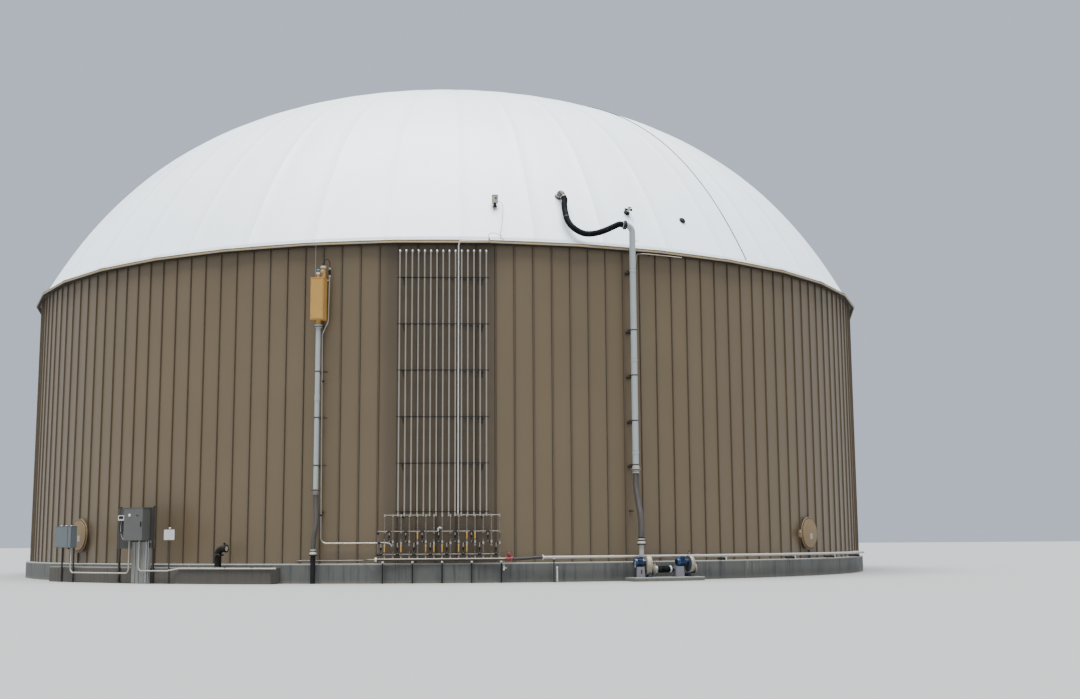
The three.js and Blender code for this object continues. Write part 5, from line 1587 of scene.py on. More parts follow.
gas_rubber = finish(
    "gas_rubber", (0.0025, 0.0035, 0.005), 0.75, bump=0.2, Patch_size=0.3, Patch_depth=0.5, Grain_size=0.01
)
dial(gas_rubber, "Specular IOR Level", 0.08)
upper = Piece()
hose_way = (elbow_end - elbow_top).normalized()
riser_elbow_end = at(18.55, 17.295, 11.35)
riser_elbow_way = (at(GAS, GAS_AXIS, 11.33) - riser_elbow_end).normalized()
upper_line = smooth_line(
    [
        elbow_end + GAP * hose_way,
        elbow_end + 0.15 * hose_way,
        at(12.68, 16.42, 12.10),
        at(12.60, 16.62, 11.75),
        at(12.77, 16.82, 11.405),
        at(13.33, 16.98, 11.165),
        at(14.24, 17.08, 11.02),
        at(15.27, 17.16, 11.025),
        at(16.34, 17.22, 11.125),
        at(17.42, 17.27, 11.28),
        riser_elbow_end - 0.16 * riser_elbow_way,
        riser_elbow_end - GAP * riser_elbow_way,
    ]
)
ribbed_hose(upper, upper_line, UPPER_HOSE_RADIUS, gas_rubber, 0.03, 0.02, 24)
hose_clamp(upper, elbow_end + 0.05 * hose_way, hose_way, 0.099, steel)
hose_clamp(upper, riser_elbow_end - 0.05 * riser_elbow_way, riser_elbow_way, 0.099, steel)
band_way = upper_line[BAND_PLACE + 1] - upper_line[BAND_PLACE - 1]
hose_clamp(upper, upper_line[BAND_PLACE], band_way, 0.0985, strut)
fit(upper.done("gas_hose_black"), "black_rubber", "gas_hose_upper")

gas = Piece()
gas_frame = facing(GAS)
gas_top = gas_frame @ spot(0, GAS_AXIS, 11.33)
gas_line = bent([gas_frame @ spot(0, GAS_AXIS, 3.45), gas_top, riser_elbow_end], 0.22, 12)
gas.tube(gas_line, RISER_RADIUS_BIG, grey_pipe, 36)
flange(gas, riser_elbow_end + 0.035 * riser_elbow_way, -riser_elbow_way, 0.15, 0.03, 0.10, iron)
gas.turned(
    riser_elbow_end + 0.04 * riser_elbow_way, riser_elbow_way, [(0, 0.145), (0.022, 0.145), (0.024, 0.11)],
    iron, 32,
)
for height in (9.86, 6.95, 4.0):
    gas.turned(
        gas_frame @ spot(0, GAS_AXIS, height), UP,
        [(-0.05, 0.101), (-0.046, 0.107), (0.046, 0.107), (0.05, 0.101)], grey_pipe, 36,
    )
    gas.disc(gas_frame @ spot(0, GAS_AXIS, height + 0.052), UP, 0.1025, 0.006, iron, 36)
gas.turned(
    gas_frame @ spot(0, GAS_AXIS, 3.47), UP,
    [(0, 0.155), (0.022, 0.155), (0.024, 0.116), (0.10, 0.112), (0.11, 0.101)], cap_grey, 36,
)
gas.disc(gas_frame @ spot(0, GAS_AXIS, 3.45), UP, 0.15, 0.018, iron, 36)
bolts(gas, gas_frame @ spot(0, GAS_AXIS, 3.492), UP, 0.134, 8, 0.011, steel)
eye = gas_frame @ spot(0.19, GAS_AXIS - 0.02, 10.86)
gas.hoop(eye, gas_frame @ OUT, 0.04, 0.006, steel, 20, 6)
gas.tube(
    [gas_frame @ spot(0.09, GAS_AXIS, 10.86), gas_frame @ spot(0.15, GAS_AXIS - 0.02, 10.86)], 0.006, steel,
    6,
)
fit(gas.done("gas_riser_pipe"), "grey_pipe", "gas_riser")

gas_brackets = Piece(gas_frame)
for height in (9.86, 7.93, 6.47, 5.02, 3.62):
    for across in (-0.06, 0.06):
        wall_channel(gas_brackets, across, height - 0.05, 17.215, strut)
    gas_brackets.block((0.30, 0.038, STRUT_SIZE), spot(0, 17.175, height), strut, 0.002)
    split_ring(gas_brackets, spot(0, GAS_AXIS, height), UP, RISER_RADIUS_BIG, strut)
gas_brackets.block((0.09, 0.16, 0.04), spot(-0.03, WALL_FACE + 0.08, 2.17), strut, 0.002)
fit(gas_brackets.done("gas_riser_brackets"), "strut")

# Sensor conduit: white plastic conduit that climbs beside the gas riser and turns along under the
# trim, held by small clips.
conduit_cream = finish(
    "conduit_cream", (0.40, 0.365, 0.30), 0.45, Patch_size=0.3, Patch_depth=0.2, Stain_share=0.2
)
sensor_run = Piece()
under_trim = [at(21.2 + 0.6 * k, 17.16, 10.49) for k in range(9)]
sensor_run.tube(
    bent([at(20.3, 17.0, 9.95), at(20.45, 17.03, 10.49), *under_trim], 0.09, 6), 0.014, conduit_cream, 12
)
for azimuth in (22.0, 24.6):
    turn = facing(azimuth)
    sensor_run.block((0.03, 0.16, 0.03), turn @ spot(0, 17.07, 10.465), strut, 0.002, turn)
fit(sensor_run.done("sensor_conduit"), "white_plastic")

# Blowers: two side-channel gas blowers on a pale plinth, each a ribbed blue motor on a grey pedestal
# that drives a flat round casing. A black hose joins the first one's outlet to the second.
BLOWER_AXIS = 17.8
BLOWER_SET = (
    (19.75, -16.0, 0.500, 0.315, -0.035, (-0.350, -0.094)),
    (24.5, -3.0, 0.510, 0.290, 0.0, (-0.507, -0.213)),
)
MOTOR_HEIGHT = 0.575
CASING_END = 0.125
HUB_START = 0.125
HUB_DROP = 0.14
FINS = 28
DUCT_HEIGHT = 0.36
DUCT_RADIUS = 0.10
PLINTH_FROM = 17.9
PLINTH_SPAN = 7.8
PLINTH_STEPS = 12
PLINTH_IN = 17.43
PLINTH_OUT = 18.18
PLINTH_TOP = 0.12

blue = finish("blue_paint", (0.006, 0.035, 0.10), 0.3, Patch_size=0.15, Patch_depth=0.3, Stain_share=0.15)
beige = finish(
    "beige_paint", (0.30, 0.26, 0.195), 0.45, Patch_size=0.2, Patch_depth=0.3, Stain_share=0.35,
    Streak_width=0.03,
)
pedestal_grey = finish(
    "pedestal_grey", (0.16, 0.156, 0.172), 0.5, Patch_size=0.2, Patch_depth=0.3, Stain_share=0.3
)
navy = finish("navy_paint", (0.006, 0.014, 0.035), 0.4, Patch_size=0.1, Patch_depth=0.4, Stain_share=0.2)
wheel_grey = finish(
    "wheel_case_face", (0.035, 0.05, 0.07), 0.45, Patch_size=0.15, Patch_depth=0.4, Stain_share=0.2
)
plinth_white = cast_concrete("plinth_concrete", PLINTH_TOP, 0.4, joints=False)


def stand_frame(azimuth, turn):
    """The frame of a blower: on the plinth, turned a little from facing straight out."""
    here = Matrix.Translation(at(azimuth, BLOWER_AXIS, 0)) @ facing(azimuth)
    return here @ Matrix.Rotation(math.radians(turn), 4, "Z")


for k, (azimuth, turn, casing_height, casing_radius, face, base_ends) in enumerate(BLOWER_SET):
    here = stand_frame(azimuth, turn)
    number = k + 1
    motor = Piece(here)
    start = Vector((-0.41, 0, MOTOR_HEIGHT))
    motor.turned(
        start, RIGHT, [(0, 0.05), (0.003, 0.10), (0.03, 0.122), (0.10, 0.122), (0.105, 0.108)], blue, 40
    )
    motor_end = face + 0.3097
    motor.turned(
        start + 0.1 * RIGHT, RIGHT, [(0, 0.108), (0.16, 0.108), (0.165, 0.122), (0.19, 0.122)], blue, 40
    )
    motor.turned(start + 0.29 * RIGHT, RIGHT, [(0, 0.100), (motor_end - 0.19, 0.100)], navy, 40)
    for f in range(FINS):
        fin_turn = Matrix.Rotation(2 * math.pi * f / FINS, 4, "X")
        fin_middle = Vector((-0.228, 0, MOTOR_HEIGHT)) + fin_turn @ Vector((0, -0.116, 0))
        motor.block((0.16, 0.026, 0.005), fin_middle, blue, 0, fin_turn)
    motor.turned(start, -RIGHT, [(0, 0.09), (0.004, 0.085), (0.006, 0.03)], iron, 24)
    motor.block((0.12, 0.10, 0.07), (-0.19, -0.03, MOTOR_HEIGHT + 0.145), blue, 0.008)
    motor.turned(
        Vector((-0.19, -0.085, MOTOR_HEIGHT + 0.145)), OUT, [(0, 0.016), (0.025, 0.016), (0.03, 0.01)],
        iron, 10,
    )
    fit(motor.done(f"blower_{number}_drive"), "blue_paint", f"blower_{number}_motor")

    casing = Piece(here)
    casing_start = Vector((face + 0.002, 0, casing_height))
    wide = CASING_END - face - 0.002
    drum = [(0, -0.16), (0.001, -0.025), (0.012, -0.01), (0.045, 0), (0.053, -0.01), (wide - 0.055, -0.01)]
    drum += [(wide - 0.047, 0), (wide - 0.015, -0.01), (wide - 0.005, -0.04), (wide, -0.16)]
    casing.turned(casing_start, RIGHT, [(along, casing_radius + step) for along, step in drum], beige, 56)
    face_radius = casing_radius - 0.045
    face_plate = [(0, face_radius), (0.0035, face_radius - 0.01)]
    casing.turned(casing_start + 0.001 * RIGHT, -RIGHT, face_plate, beige if k == 0 else wheel_grey, 56)
    bolts(casing, casing_start + 0.004 * RIGHT, -RIGHT, casing_radius - 0.03, 12, 0.010, steel)
    # Painted shade: the casing's foot is in the dark face colour, as the shade under the casing.
    casing.block((0.11, 0.40, 0.11), (0.0625, 0, 0.1755), wheel_grey, 0.006)
    hub_start = Vector((HUB_START, 0, casing_height - HUB_DROP))
    casing.turned(
        hub_start - 0.004 * RIGHT, RIGHT,
        [(0, 0.13), (0.014, 0.13), (0.015, 0.195), (0.02, 0.2), (0.045, 0.2), (0.05, 0.16)], flange_brown,
        40,
    )
    casing.turned(
        hub_start + 0.045 * RIGHT, RIGHT, [(0, 0.15), (0.05, 0.14), (0.052, 0.165), (0.0797, 0.165)], beige,
        36,
    )
    bolts(casing, hub_start + 0.041 * RIGHT, RIGHT, 0.182, 8, 0.009, steel, 20)
    if k == 0:
        handwheel(casing, Vector((0.25, -0.13, casing_height + 0.14)), UP, 0.075, red)
        casing.tube(
            [Vector((0.2, -0.08, casing_height - 0.02)), Vector((0.25, -0.13, casing_height + 0.14))], 0.01,
            steel, 8,
        )
    else:
        casing.tube(
            [Vector((0.06, 0, casing_height + 0.28)), Vector((0.06, 0, casing_height + 0.36))], 0.012,
            steel, 8,
        )
        lever = Matrix.Rotation(math.radians(-55), 4, "Y")
        casing.block((0.15, 0.018, 0.014), Vector((0.04, 0, casing_height + 0.37)), iron, 0.002, lever)
    fit(casing.done(f"blower_{number}_wheel_case"), "beige_paint", f"blower_{number}_casing")

    base_block = Piece(here)
    base_middle = sum(base_ends) / 2
    base_half = base_ends[1] - base_middle
    foot_corners = [(-1, -1), (1, -1), (1, 1), (-1, 1)]
    low = [Vector((base_middle + base_half * x, 0.15 * y, 0.12)) for x, y in foot_corners]
    high = [Vector((base_middle + 0.92 * base_half * x, 0.135 * y, 0.439)) for x, y in foot_corners]
    base_block.loft([low, high], pedestal_grey)
    base_block.block((2 * base_half, 0.30, 0.014), (base_middle, 0, 0.127), pedestal_grey, 0.002)
    if k == 0:
        base_block.block((0.035, 0.006, 0.12), (base_middle + 0.02, -0.148, 0.29), iron, 0)
        base_block.tube([Vector((-0.40, -0.13, 0.121)), Vector((-0.40, -0.13, 0.42))], 0.018, iron, 10)
        base_block.tube([Vector((-0.40, -0.13, 0.42)), Vector((-0.40, -0.13, 0.60))], 0.014, steel, 10)
    for x in (base_ends[0] + 0.03, base_ends[1] - 0.03):
        base_block.disc(Vector((x, -0.148, 0.134)), UP, 0.011, 0.01, steel, 6)
    fit(base_block.done(f"blower_{number}_pedestal"), "strut", f"blower_{number}_base")

link = Piece()
first_stand = stand_frame(*BLOWER_SET[0][:2])
second_stand = stand_frame(*BLOWER_SET[1][:2])
link_start = first_stand @ Vector((0.2503, 0, DUCT_HEIGHT))
link_end = at(22.6, BLOWER_AXIS, DUCT_HEIGHT)
first_way = (first_stand.to_3x3() @ RIGHT).normalized()
last_way = ((second_stand @ Vector((-0.36, 0, DUCT_HEIGHT))) - link_end).normalized()
link_line = smooth_line(
    [link_start, link_start + 0.15 * first_way, link_end - 0.1503 * last_way, link_end - GAP * last_way]
)
ribbed_hose(link, link_line, DUCT_RADIUS, gas_rubber, 0.028, 0.05, 28)
for end, way in ((link_start + 0.02 * first_way, first_way), (link_end - 0.11 * last_way, last_way)):
    link.turned(end, way, [(0, 0.103), (0.004, 0.106), (0.05, 0.106), (0.054, 0.103)], white_plastic, 28)
link.tube(
    [link_end - 0.02 * last_way, second_stand @ Vector((-0.40, 0, DUCT_HEIGHT))], 0.058, wheel_grey, 20
)
fit(link.done("blower_link"), "black_rubber", "blower_duct")

plinth = Piece()
plinth_arc = [PLINTH_FROM + PLINTH_SPAN * k / PLINTH_STEPS for k in range(PLINTH_STEPS + 1)]
plinth_rows = []
plinth_section = (
    (PLINTH_IN, 0.0),
    (PLINTH_OUT, 0.0),
    (PLINTH_OUT, 0.108),
    (18.168, PLINTH_TOP),
    (PLINTH_IN, PLINTH_TOP),
)
for reach, height in plinth_section:
    plinth_rows.append([at(a, reach, height) for a in plinth_arc])
for low, high in zip(plinth_rows, plinth_rows[1:] + plinth_rows[:1]):
    for k in range(PLINTH_STEPS):
        corners = [plinth.shape.verts.new(p) for p in (low[k], low[k + 1], high[k + 1], high[k])]
        plinth.paint([plinth.shape.faces.new(corners)], plinth_white)
for end in (0, PLINTH_STEPS):
    corners = [plinth.shape.verts.new(row[end]) for row in plinth_rows]
    plinth.paint([plinth.shape.faces.new(corners)], plinth_white)
bmesh.ops.remove_doubles(plinth.shape, verts=plinth.shape.verts, dist=0.0001)
fit(plinth.done("blower_plinth"), "concrete", "blower_pad")

# Gas inlet: rigid grey pipe from the first blower's casing up to a flange, where the ribbed hose
# comes down to it through a pair of pale couplings with dark bands.
INLET_ACROSS = -0.118
INLET_ASIDE = 0.216
INLET_LOW = 0.56
INLET_HIGH = 1.15

inlet = Piece()
inlet_top = first_stand @ Vector((INLET_ACROSS, INLET_ASIDE, INLET_HIGH))
inlet_line = bent(
    [
        inlet_top, first_stand @ Vector((INLET_ACROSS, INLET_ASIDE, INLET_LOW)),
        first_stand @ Vector((-0.0353, INLET_ASIDE, INLET_LOW)),
    ],
    0.08, 8,
)
inlet.tube(inlet_line, 0.075, pale_pipe, 28)
flange(inlet, inlet_top - 0.04 * UP, UP, 0.135, 0.028, 0.075, iron)
inlet.disc(inlet_top - 0.012 * UP, UP, 0.11, 0.01, cap_grey, 28)
fit(inlet.done("gas_inlet"), "grey_pipe", "gas_inlet_pipe")

lower = Piece()
lower_line = smooth_line(
    [
        gas_frame @ spot(0, GAS_AXIS, 3.4497),
        gas_frame @ spot(0, GAS_AXIS, 3.27),
        gas_frame @ spot(0, 17.31, 2.90),
        at(19.62, 17.38, 2.40),
        at(19.70, 17.46, 2.00),
        at(19.63, 17.535, 1.62),
        inlet_top + 0.17 * UP,
        inlet_top + GAP * UP,
    ]
)
ribbed_hose(lower, lower_line, LOWER_HOSE_RADIUS, hose_grey, 0.022, 0.05, 28)
hose_head = gas_frame @ spot(0, GAS_AXIS, 3.4497)
lower.turned(hose_head, -UP, [(0, 0.122), (0.03, 0.122), (0.034, 0.10), (0.06, 0.098)], cap_grey, 32)
lower.turned(
    hose_head - 0.065 * UP, -UP, [(0, 0.101), (0.004, 0.104), (0.026, 0.104), (0.03, 0.101)], white_plastic,
    32,
)
lower.turned(
    inlet_top + GAP * UP, UP, [(0, 0.118), (0.01, 0.126), (0.05, 0.12), (0.075, 0.102)], cap_grey, 32
)
lower.turned(
    inlet_top + 0.115 * UP, UP, [(0, 0.1), (0.003, 0.104), (0.045, 0.104), (0.048, 0.1)], cap_grey, 32
)
hose_clamp(lower, inlet_top + 0.185 * UP, UP, 0.101, iron)
hose_clamp(lower, inlet_top + 0.09 * UP, UP, 0.101, iron)
fit(lower.done("gas_hose_grey"), "grey_hose", "gas_hose_lower")

# Dome fittings: a stainless sampling valve, a black port, a grey level-sensor box and the cable
# that runs up a seam of the membrane.
TAP = 20.81
PORT = 28.63
SENSOR = 4.69
TAP_REACH = 16.2
PORT_REACH = 16.22
SENSOR_REACH = 16.31
CABLE_SEAM = 36.7

dome_bits = Piece()
tap_way = dome_normal(TAP_REACH, TAP)
tap_foot = on_dome(TAP, TAP_REACH)
tap_side = at(TAP, 0, 0, 1)
dome_bits.turned(tap_foot, tap_way, [(0, 0.105), (0.04, 0.105), (0.045, 0.058), (0.11, 0.05)], iron, 24)
dome_bits.turned(
    tap_foot + 0.11 * tap_way, tap_way, [(0, 0.055), (0.10, 0.055), (0.102, 0.044), (0.16, 0.044)],
    stainless, 16,
)
tap_body = [(0, 0.044), (0.04, 0.044), (0.042, 0.034), (0.21, 0.034), (0.212, 0.044), (0.25, 0.044)]
dome_bits.turned(tap_foot + 0.16 * tap_way - 0.125 * tap_side, tap_side, tap_body, iron, 14)
dome_bits.block((0.17, 0.024, 0.014), tap_foot + 0.272 * tap_way, iron, 0.002, facing(TAP))
tap_cable = smooth_line(
    [
        tap_foot + Vector((0.05, -0.04, -0.02)),
        at(20.6, 16.6, 11.95),
        at(20.2, 17.0, 11.5),
        at(19.8, 17.22, 11.4),
    ]
)
dome_bits.tube(tap_cable, 0.006, steel, 6)
fit(dome_bits.done("sampling_tap"), "stainless", "sampling_valve")

port = Piece()
port_way = dome_normal(PORT_REACH, PORT)
port_foot = on_dome(PORT, PORT_REACH)
port.turned(
    port_foot, port_way, [(0, 0.115), (0.03, 0.115), (0.035, 0.085), (0.065, 0.08), (0.07, 0.04)], iron, 28
)
bolts(port, port_foot + 0.03 * port_way, port_way, 0.1, 8, 0.008, steel)
fit(port.done("membrane_port"), "black_iron", "dome_port")

sensor = Piece(facing(SENSOR))
sensor_low = dome_height(PORT_REACH) + 0.03
sensor.block((0.19, 0.21, 0.25), spot(0, SENSOR_REACH, sensor_low + 0.14), cap_grey, 0.012)
sensor.block((0.20, 0.22, 0.03), spot(0, SENSOR_REACH, sensor_low + 0.265), cap_grey, 0.008)
sensor.turned(
    spot(0, SENSOR_REACH, sensor_low + 0.02), -UP, [(0, 0.05), (0.10, 0.05), (0.11, 0.07), (0.13, 0.07)],
    iron, 20,
)
sensor.turned(
    spot(0.02, 16.42, sensor_low + 0.16), OUT, [(0, 0.03), (0.008, 0.03), (0.01, 0.024)], iron, 20
)
sensor_lead = smooth_line(
    [
        spot(0.09, 16.30, sensor_low + 0.10), spot(0.22, 16.50, 12.0), spot(0.16, 16.85, 11.2),
        spot(0.10, 17.00, 10.80), spot(0.20, 17.08, 10.69),
    ]
)
sensor.tube(sensor_lead, 0.008, iron, 6)
sensor.tube([spot(-0.03, 16.35, sensor_low + 0.03), spot(-0.05, 16.52, sensor_low - 0.32)], 0.008, iron, 6)
fit(sensor.done("level_sensor"), "beige_paint", "level_sensor_box")

seam_cable = Piece()
seam_cable.tube([on_dome(CABLE_SEAM, 16.9 - 8.1 * k / 40, 0.012) for k in range(41)], 0.012, iron, 8)
fit(seam_cable.done("seam_cable"), "black_rubber", "dome_cable")

# Manways: round inspection covers in dull sand-coloured paint, each bolted all round to a flange on a
# neck in the wall, with a hinge lug on the left and a bare plate where a notice would be.
MANWAYS = (("left", -48.2, 1.53), ("right", 47.1, 1.46))
MANWAY_BOLTS = 40
BOLT_CIRCLE = 0.538
HINGE_ACROSS = -0.66

manway_tan = finish(
    "manway_paint", (0.20, 0.132, 0.060), 0.5, bump=0.05, Patch_size=0.3, Patch_depth=0.3,
    Stain=(0.14, 0.10, 0.06, 1), Stain_share=0.35, Streak_width=0.04,
)
for name, azimuth, height in MANWAYS:
    cover = Piece(facing(azimuth))
    middle = spot(0, 0, height)
    # Painted shade: the neck is in the dark strut colour, as the shade behind the cover.
    cover.disc(middle + WALL_FACE * OUT, OUT, 0.44, 0.097, strut, 64)
    rim = [(0, 0.562), (0.003, 0.57), (0.025, 0.57), (0.03, 0.564)]
    cover.turned(middle + 17.04 * OUT, OUT, rim, manway_tan, 64)
    cover.disc(middle + 17.068 * OUT, OUT, 0.508, 0.004, iron, 64)
    lid = [(0, 0.494), (0.003, 0.5), (0.022, 0.5), (0.03, 0.49), (0.031, 0.40), (0.036, 0.38)]
    cover.turned(middle + 17.069 * OUT, OUT, lid, manway_tan, 64)
    bolts(cover, middle + 17.07 * OUT, OUT, BOLT_CIRCLE, MANWAY_BOLTS, 0.014, strut)
    cover.block((0.19, 0.048, 0.255), spot(-0.64, 17.055, height), manway_tan, 0.006)
    pin = [spot(HINGE_ACROSS, 17.085, height + end) for end in (-0.15, 0.15)]
    cover.tube(pin, 0.015, manway_tan, 14)
    cover.turned(
        spot(-0.69, 17.079, height + 0.05), OUT, [(0, 0.02), (0.012, 0.02), (0.016, 0.012)], white_plastic,
        14,
    )
    cover.block((0.16, 0.004, 0.20), spot(0.06, 17.107, height - 0.10), cap_grey, 0.001)
    fit(cover.done(f"manway_{name}"), "golden_paint", f"manway_cover_{name}")

# Service kerb: a cast concrete upstand with an eased top edge, poured against the foundation's left
# side. The posts of the cabinets and the plate are bolted to its front, the breather to its top.
KERB_FROM = -50.0
KERB_TO = -18.0
KERB_OUT = 17.8
KERB_TOP = 0.5
KERB_BACK = 17.1205
KERB_EDGE = 0.02
KERB_STEPS = 48

kerb_concrete = cast_concrete("kerb_concrete", KERB_TOP, 0.5, joints=False)
# Painted shade: the whole kerb is darkened as if it stood in shadow.
tint(kerb_concrete, 0.72, (0.072, 0.060, 0.046))
kerb = Piece()
kerb_angles = [KERB_FROM + (KERB_TO - KERB_FROM) * k / KERB_STEPS for k in range(KERB_STEPS + 1)]
kerb_section = (
    (KERB_BACK, 0.0),
    (KERB_OUT, 0.0),
    (KERB_OUT, KERB_TOP - KERB_EDGE),
    (KERB_OUT - KERB_EDGE, KERB_TOP),
    (KERB_BACK, KERB_TOP),
)
kerb_rings = [[at(a, r, z) for r, z in kerb_section] for a in kerb_angles]
kerb.loft(kerb_rings, kerb_concrete)
fit(kerb.done("kerb"), "concrete", "service_kerb")

# Breather: a dark painted steel pipe that stands on the kerb, flanged, and turns over to an open
# mouth on the right, with a knob on its bend.
BREATHER = -24.6
BREATHER_AXIS = 17.45
BREATHER_RADIUS = 0.105
BREATHER_MOUTH = 0.30
BREATHER_HEAD = 1.08
BREATHER_FOOT = 0.5003

dark_brown = finish(
    "breather_paint", (0.010, 0.007, 0.005), 0.6, bump=0.2, Patch_size=0.2, Patch_depth=0.5, Stain_share=0.1
)
dial(dark_brown, "Specular IOR Level", 0.2)
breather = Piece(facing(BREATHER))
breather_line = bent(
    [
        spot(0, BREATHER_AXIS, BREATHER_FOOT), spot(0, BREATHER_AXIS, 1.06),
        spot(BREATHER_MOUTH, BREATHER_AXIS, BREATHER_HEAD),
    ],
    0.17, 10,
)
breather.tube(breather_line, BREATHER_RADIUS, dark_brown, 32)
mouth = spot(BREATHER_MOUTH, BREATHER_AXIS, BREATHER_HEAD)
breather.turned(
    mouth - 0.03 * RIGHT, RIGHT, [(0, 0.106), (0.0, 0.125), (0.034, 0.125), (0.034, 0.08), (0.031, 0.0)],
    dark_brown, 32,
)
breather.disc(mouth + 0.001 * RIGHT, RIGHT, 0.078, 0.004, cap_grey, 28)
flange(breather, spot(0, BREATHER_AXIS, 0.881), UP, 0.172, 0.02, BREATHER_RADIUS, dark_brown)
flange(breather, spot(0, BREATHER_AXIS, 0.879), -UP, 0.172, 0.02, BREATHER_RADIUS, dark_brown)
flange(breather, spot(0, BREATHER_AXIS, BREATHER_FOOT), UP, 0.155, 0.02, BREATHER_RADIUS, dark_brown)
breather.turned(
    spot(0.22, BREATHER_AXIS, 1.17), UP,
    [(0, 0.022), (0.05, 0.022), (0.052, 0.036), (0.085, 0.036), (0.09, 0.02)], iron, 16,
)
fit(breather.done("breather"), "black_iron", "breather_pipe")

# Control stand: two square posts and a back plate that carry a stainless cabinet with a lamp and a
# handle on its door, a plastic meter box with a window and its bowed leads, and a wide ribbed cable
# channel down to the ground with two conduits beside it.
PANEL = -34.17
PANEL_FRAME = facing(PANEL)
POST_REACH = 17.831
CHANNEL_ACROSS = 0.28
CHANNEL_MIDDLE = 0.67
CABINET_ACROSS = 0.18
CABINET_MIDDLE = 1.855
DOOR_FACE = 18.178
METER_ACROSS = -0.56
METER_FOOT = 1.975

cabinet_grey = finish(
    "cabinet_grey", (0.106, 0.104, 0.096), 0.4, metallic=0.25, Patch_size=0.4, Patch_depth=0.2,
    Stain_share=0.2,
)
plate_dark = finish("back_plate", (0.055, 0.050, 0.044), 0.5, metallic=0.3, Patch_size=0.3, Patch_depth=0.3)
channel_grey = finish(
    "channel_grey", (0.26, 0.258, 0.235), 0.45, metallic=0.3, Patch_size=0.3, Patch_depth=0.3,
    Stain_share=0.3,
)
cap_blue = finish("pale_blue", (0.26, 0.30, 0.31), 0.4, Patch_size=0.3, Patch_depth=0.2, Stain_share=0.2)

control = Piece(PANEL_FRAME)
for side in (-0.75, 0.75):
    control.block((0.06, 0.058, 2.36), spot(side, POST_REACH, 1.21), strut, 0.003)
    control.block((0.07, 0.07, 0.02), spot(side, POST_REACH, 2.40), iron, 0.004)
control.block((1.66, 0.010, 1.29), spot(0, 17.851, 1.735), plate_dark, 0.001)
for height in (1.16, 2.30):
    control.block((1.68, 0.02, STRUT_SIZE), spot(0, 17.84, height), strut, 0.001)
control.block((0.79, 0.062, 1.335), spot(CHANNEL_ACROSS, 17.881, CHANNEL_MIDDLE), channel_grey, 0.004)
for k in range(12):
    control.block(
        (0.014, 0.012, 1.30), spot(-0.09 + 0.066 * k, 17.913, CHANNEL_MIDDLE), channel_grey, 0.003
    )
for across in (0.06, 0.21):
    control.block((0.012, 0.004, 1.30), spot(across, 17.914, CHANNEL_MIDDLE), iron, 0)
control.block((0.80, 0.004, 0.03), spot(CHANNEL_ACROSS, 17.917, 1.32), iron, 0)
control.tube([spot(0.56, 17.942, 0.05), spot(0.56, 17.942, 1.335)], 0.018, cap_blue, 10)
control.tube([spot(0.65, 17.94, 0.10), spot(0.65, 17.94, 1.335)], 0.014, channel_grey, 10)
control.block((0.05, 0.03, 0.16), spot(0.69, 17.935, 1.20), iron, 0.003)
fit(control.done("control_stand"), "strut", "panel_stand")

cabinet = Piece(PANEL_FRAME)
cabinet.block((0.85, 0.30, 1.03), spot(CABINET_ACROSS, 18.008, CABINET_MIDDLE), cabinet_grey, 0.006)
cabinet.block((0.83, 0.022, 1.00), spot(CABINET_ACROSS, 18.166, CABINET_MIDDLE), cabinet_grey, 0.004)
cabinet.block((0.88, 0.35, 0.018), spot(CABINET_ACROSS, 18.01, 2.372), cabinet_grey, 0.004)
for height in (1.50, 2.22):
    cabinet.tube(
        [spot(-0.243, 18.17, height - 0.05), spot(-0.243, 18.17, height + 0.05)], 0.010, cabinet_grey, 10
    )
cabinet.turned(
    spot(0.02, DOOR_FACE, 2.13), OUT, [(0, 0.05), (0.012, 0.05), (0.016, 0.042), (0.035, 0.03)],
    white_plastic, 24,
)
cabinet.block((0.025, 0.03, 0.16), spot(0.53, 18.19, 1.85), iron, 0.005)
cabinet.disc(spot(0.40, DOOR_FACE, 2.13), OUT, 0.018, 0.02, red, 14)
cabinet.disc(spot(0.33, DOOR_FACE, 2.13), OUT, 0.018, 0.012, iron, 14)
for across in (0.0, 0.25, 0.45):
    cabinet.turned(spot(across, 18.02, 1.341), -UP, [(0, 0.028), (0.03, 0.028), (0.034, 0.022)], iron, 10)
fit(cabinet.done("cabinet"), "cabinet_grey", "control_cabinet")

meter = Piece(PANEL_FRAME)
meter.block((0.30, 0.136, 0.17), spot(METER_ACROSS, 17.927, 2.06), white_plastic, 0.012)
meter.block((0.20, 0.006, 0.09), spot(METER_ACROSS, 17.997, 2.075), iron, 0.003)
meter_lead = smooth_line(
    [
        spot(-0.66, 17.93, METER_FOOT), spot(-0.67, 17.95, 1.72), spot(-0.58, 17.97, 1.60),
        spot(-0.48, 17.95, 1.72), spot(-0.46, 17.93, METER_FOOT),
    ]
)
meter.tube(meter_lead, 0.009, iron, 8)
for reach, low in ((0.0, 1.46), (0.03, 1.36)):
    bow = smooth_line(
        [
            spot(-0.60 - reach, 17.90, METER_FOOT),
            spot(-0.60 - reach, 17.93, 1.75),
            spot(-0.52, 17.95, low + 0.06),
            spot(-0.38, 17.95, low),
            spot(-0.255, 17.95, low + 0.02),
        ]
    )
    meter.tube(bow, 0.012, cap_blue if reach else iron, 8)
fit(meter.done("meter"), "white_plastic", "meter_box")

# Junction stand: two thin channel posts and two rails with a long pale blue-grey junction box, and
# the conduits that run from it to the control cabinet and along the kerb.
JUNCTION_FRAME = facing(-45.1)
JUNCTION_MIDDLE = 1.4775
JUNCTION_DOOR = 18.066
RUN_REACH = 17.98
RUN_LOW = 0.32
RUN_RADIUS = 0.023

cabinet_blue = finish(
    "cabinet_blue", (0.098, 0.116, 0.124), 0.4, Patch_size=0.3, Patch_depth=0.15, Stain_share=0.15
)

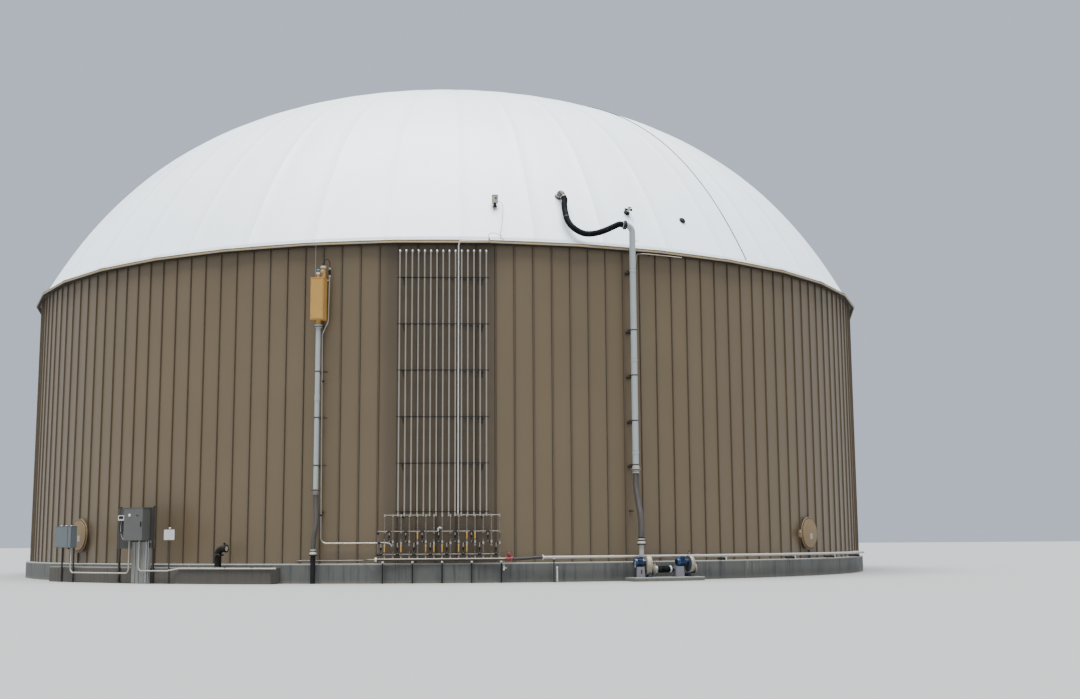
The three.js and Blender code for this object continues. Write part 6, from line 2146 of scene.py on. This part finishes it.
junction_stand = Piece(JUNCTION_FRAME)
for across in (-0.56, 0.16):
    junction_stand.block((0.045, 0.045, 1.775), spot(across, 17.828, 0.8875), strut, 0.002)
    junction_stand.block((0.05, 0.05, 0.015), spot(across, 17.828, 1.775), iron, 0.003)
for height in (1.24, 1.715):
    junction_stand.block((0.90, 0.012, STRUT_SIZE), spot(-0.20, 17.849, height), strut, 0.001)
fit(junction_stand.done("junction_posts"), "strut", "junction_stand")

junction = Piece(JUNCTION_FRAME)
junction.block((1.04, 0.20, 0.70), spot(-0.15, 17.957, JUNCTION_MIDDLE), cabinet_blue, 0.008)
junction.block((0.80, 0.016, 0.66), spot(-0.26, JUNCTION_DOOR, JUNCTION_MIDDLE), cabinet_blue, 0.005)
junction.block((0.20, 0.016, 0.66), spot(0.26, JUNCTION_DOOR, JUNCTION_MIDDLE), cabinet_blue, 0.005)
junction.block((1.05, 0.215, 0.012), spot(-0.15, 17.96, 1.830), cabinet_blue, 0.003)
for across in (-0.45, -0.15, 0.18):
    junction.turned(
        spot(across, 17.96, 1.834), UP, [(0, 0.03), (0.02, 0.03), (0.03, 0.02)], white_plastic, 14
    )
for across, height in ((-0.62, 1.25), (-0.62, 1.70), (0.10, 1.25), (0.10, 1.70)):
    junction.disc(spot(across, 18.072, height), OUT, 0.01, 0.004, steel, 10)
junction.turned(spot(0.05, 17.96, 1.121), -UP, [(0, 0.032), (0.04, 0.032), (0.045, 0.026)], iron, 12)
fit(junction.done("junction"), "cabinet_grey", "junction_box")

runs = Piece()
left_run = bent(
    [
        at(-44.3, RUN_REACH, 1.12), at(-44.3, RUN_REACH, RUN_LOW), at(-39.5, RUN_REACH, RUN_LOW),
        at(-34.7, RUN_REACH, RUN_LOW), at(-34.7, RUN_REACH, 1.34),
    ],
    0.14, 6,
)
runs.tube(left_run, RUN_RADIUS, conduit_cream, 14)
fit(runs.done("conduit_run_left"), "white_plastic", "conduit_left")
right_runs = Piece()
kerb_run = [at(-28.4 + 11.0 * k / 16, 17.832, 0.47) for k in range(17)]
right_line = bent(
    [at(-33.3, RUN_REACH, 1.34), at(-33.3, RUN_REACH, 0.40), at(-29.6, 17.96, 0.40), *kerb_run], 0.11, 6
)
right_runs.tube(right_line, RUN_RADIUS, conduit_cream, 14)
strip_line = [at(-23.6 + 5.4 * k / 12, 17.62, KERB_TOP + 0.012) for k in range(13)]
right_runs.tube(strip_line, 0.012, iron, 8)
for azimuth in (-26, -23, -20):
    turn = facing(azimuth)
    right_runs.block((0.03, 0.05, 0.06), turn @ spot(0, 17.825, 0.47), strut, 0.002, turn)
fit(right_runs.done("conduit_run_right"), "white_plastic", "conduit_right")

# Plate post: a thin round steel post at the kerb's front, with a white cap on its top and a bare
# white plate held to it by two screws.
PLATE_FRAME = facing(-29.72)
PLATE_POST = 17.826

notice = Piece(PLATE_FRAME)
notice.tube([spot(0, PLATE_POST, 0.001), spot(0, PLATE_POST, 1.70)], 0.022, strut, 16)
notice.turned(
    spot(0, PLATE_POST, 1.69), UP, [(0, 0.028), (0.015, 0.036), (0.04, 0.036), (0.055, 0.02)],
    white_plastic, 16,
)
notice.block((0.42, 0.006, 0.32), spot(0, 17.854, 1.515), white_plastic, 0.002)
for height in (1.42, 1.61):
    notice.disc(spot(0, 17.857, height), OUT, 0.01, 0.006, steel, 8)
fit(notice.done("notice_plate"), "white_plastic", "post_plate")
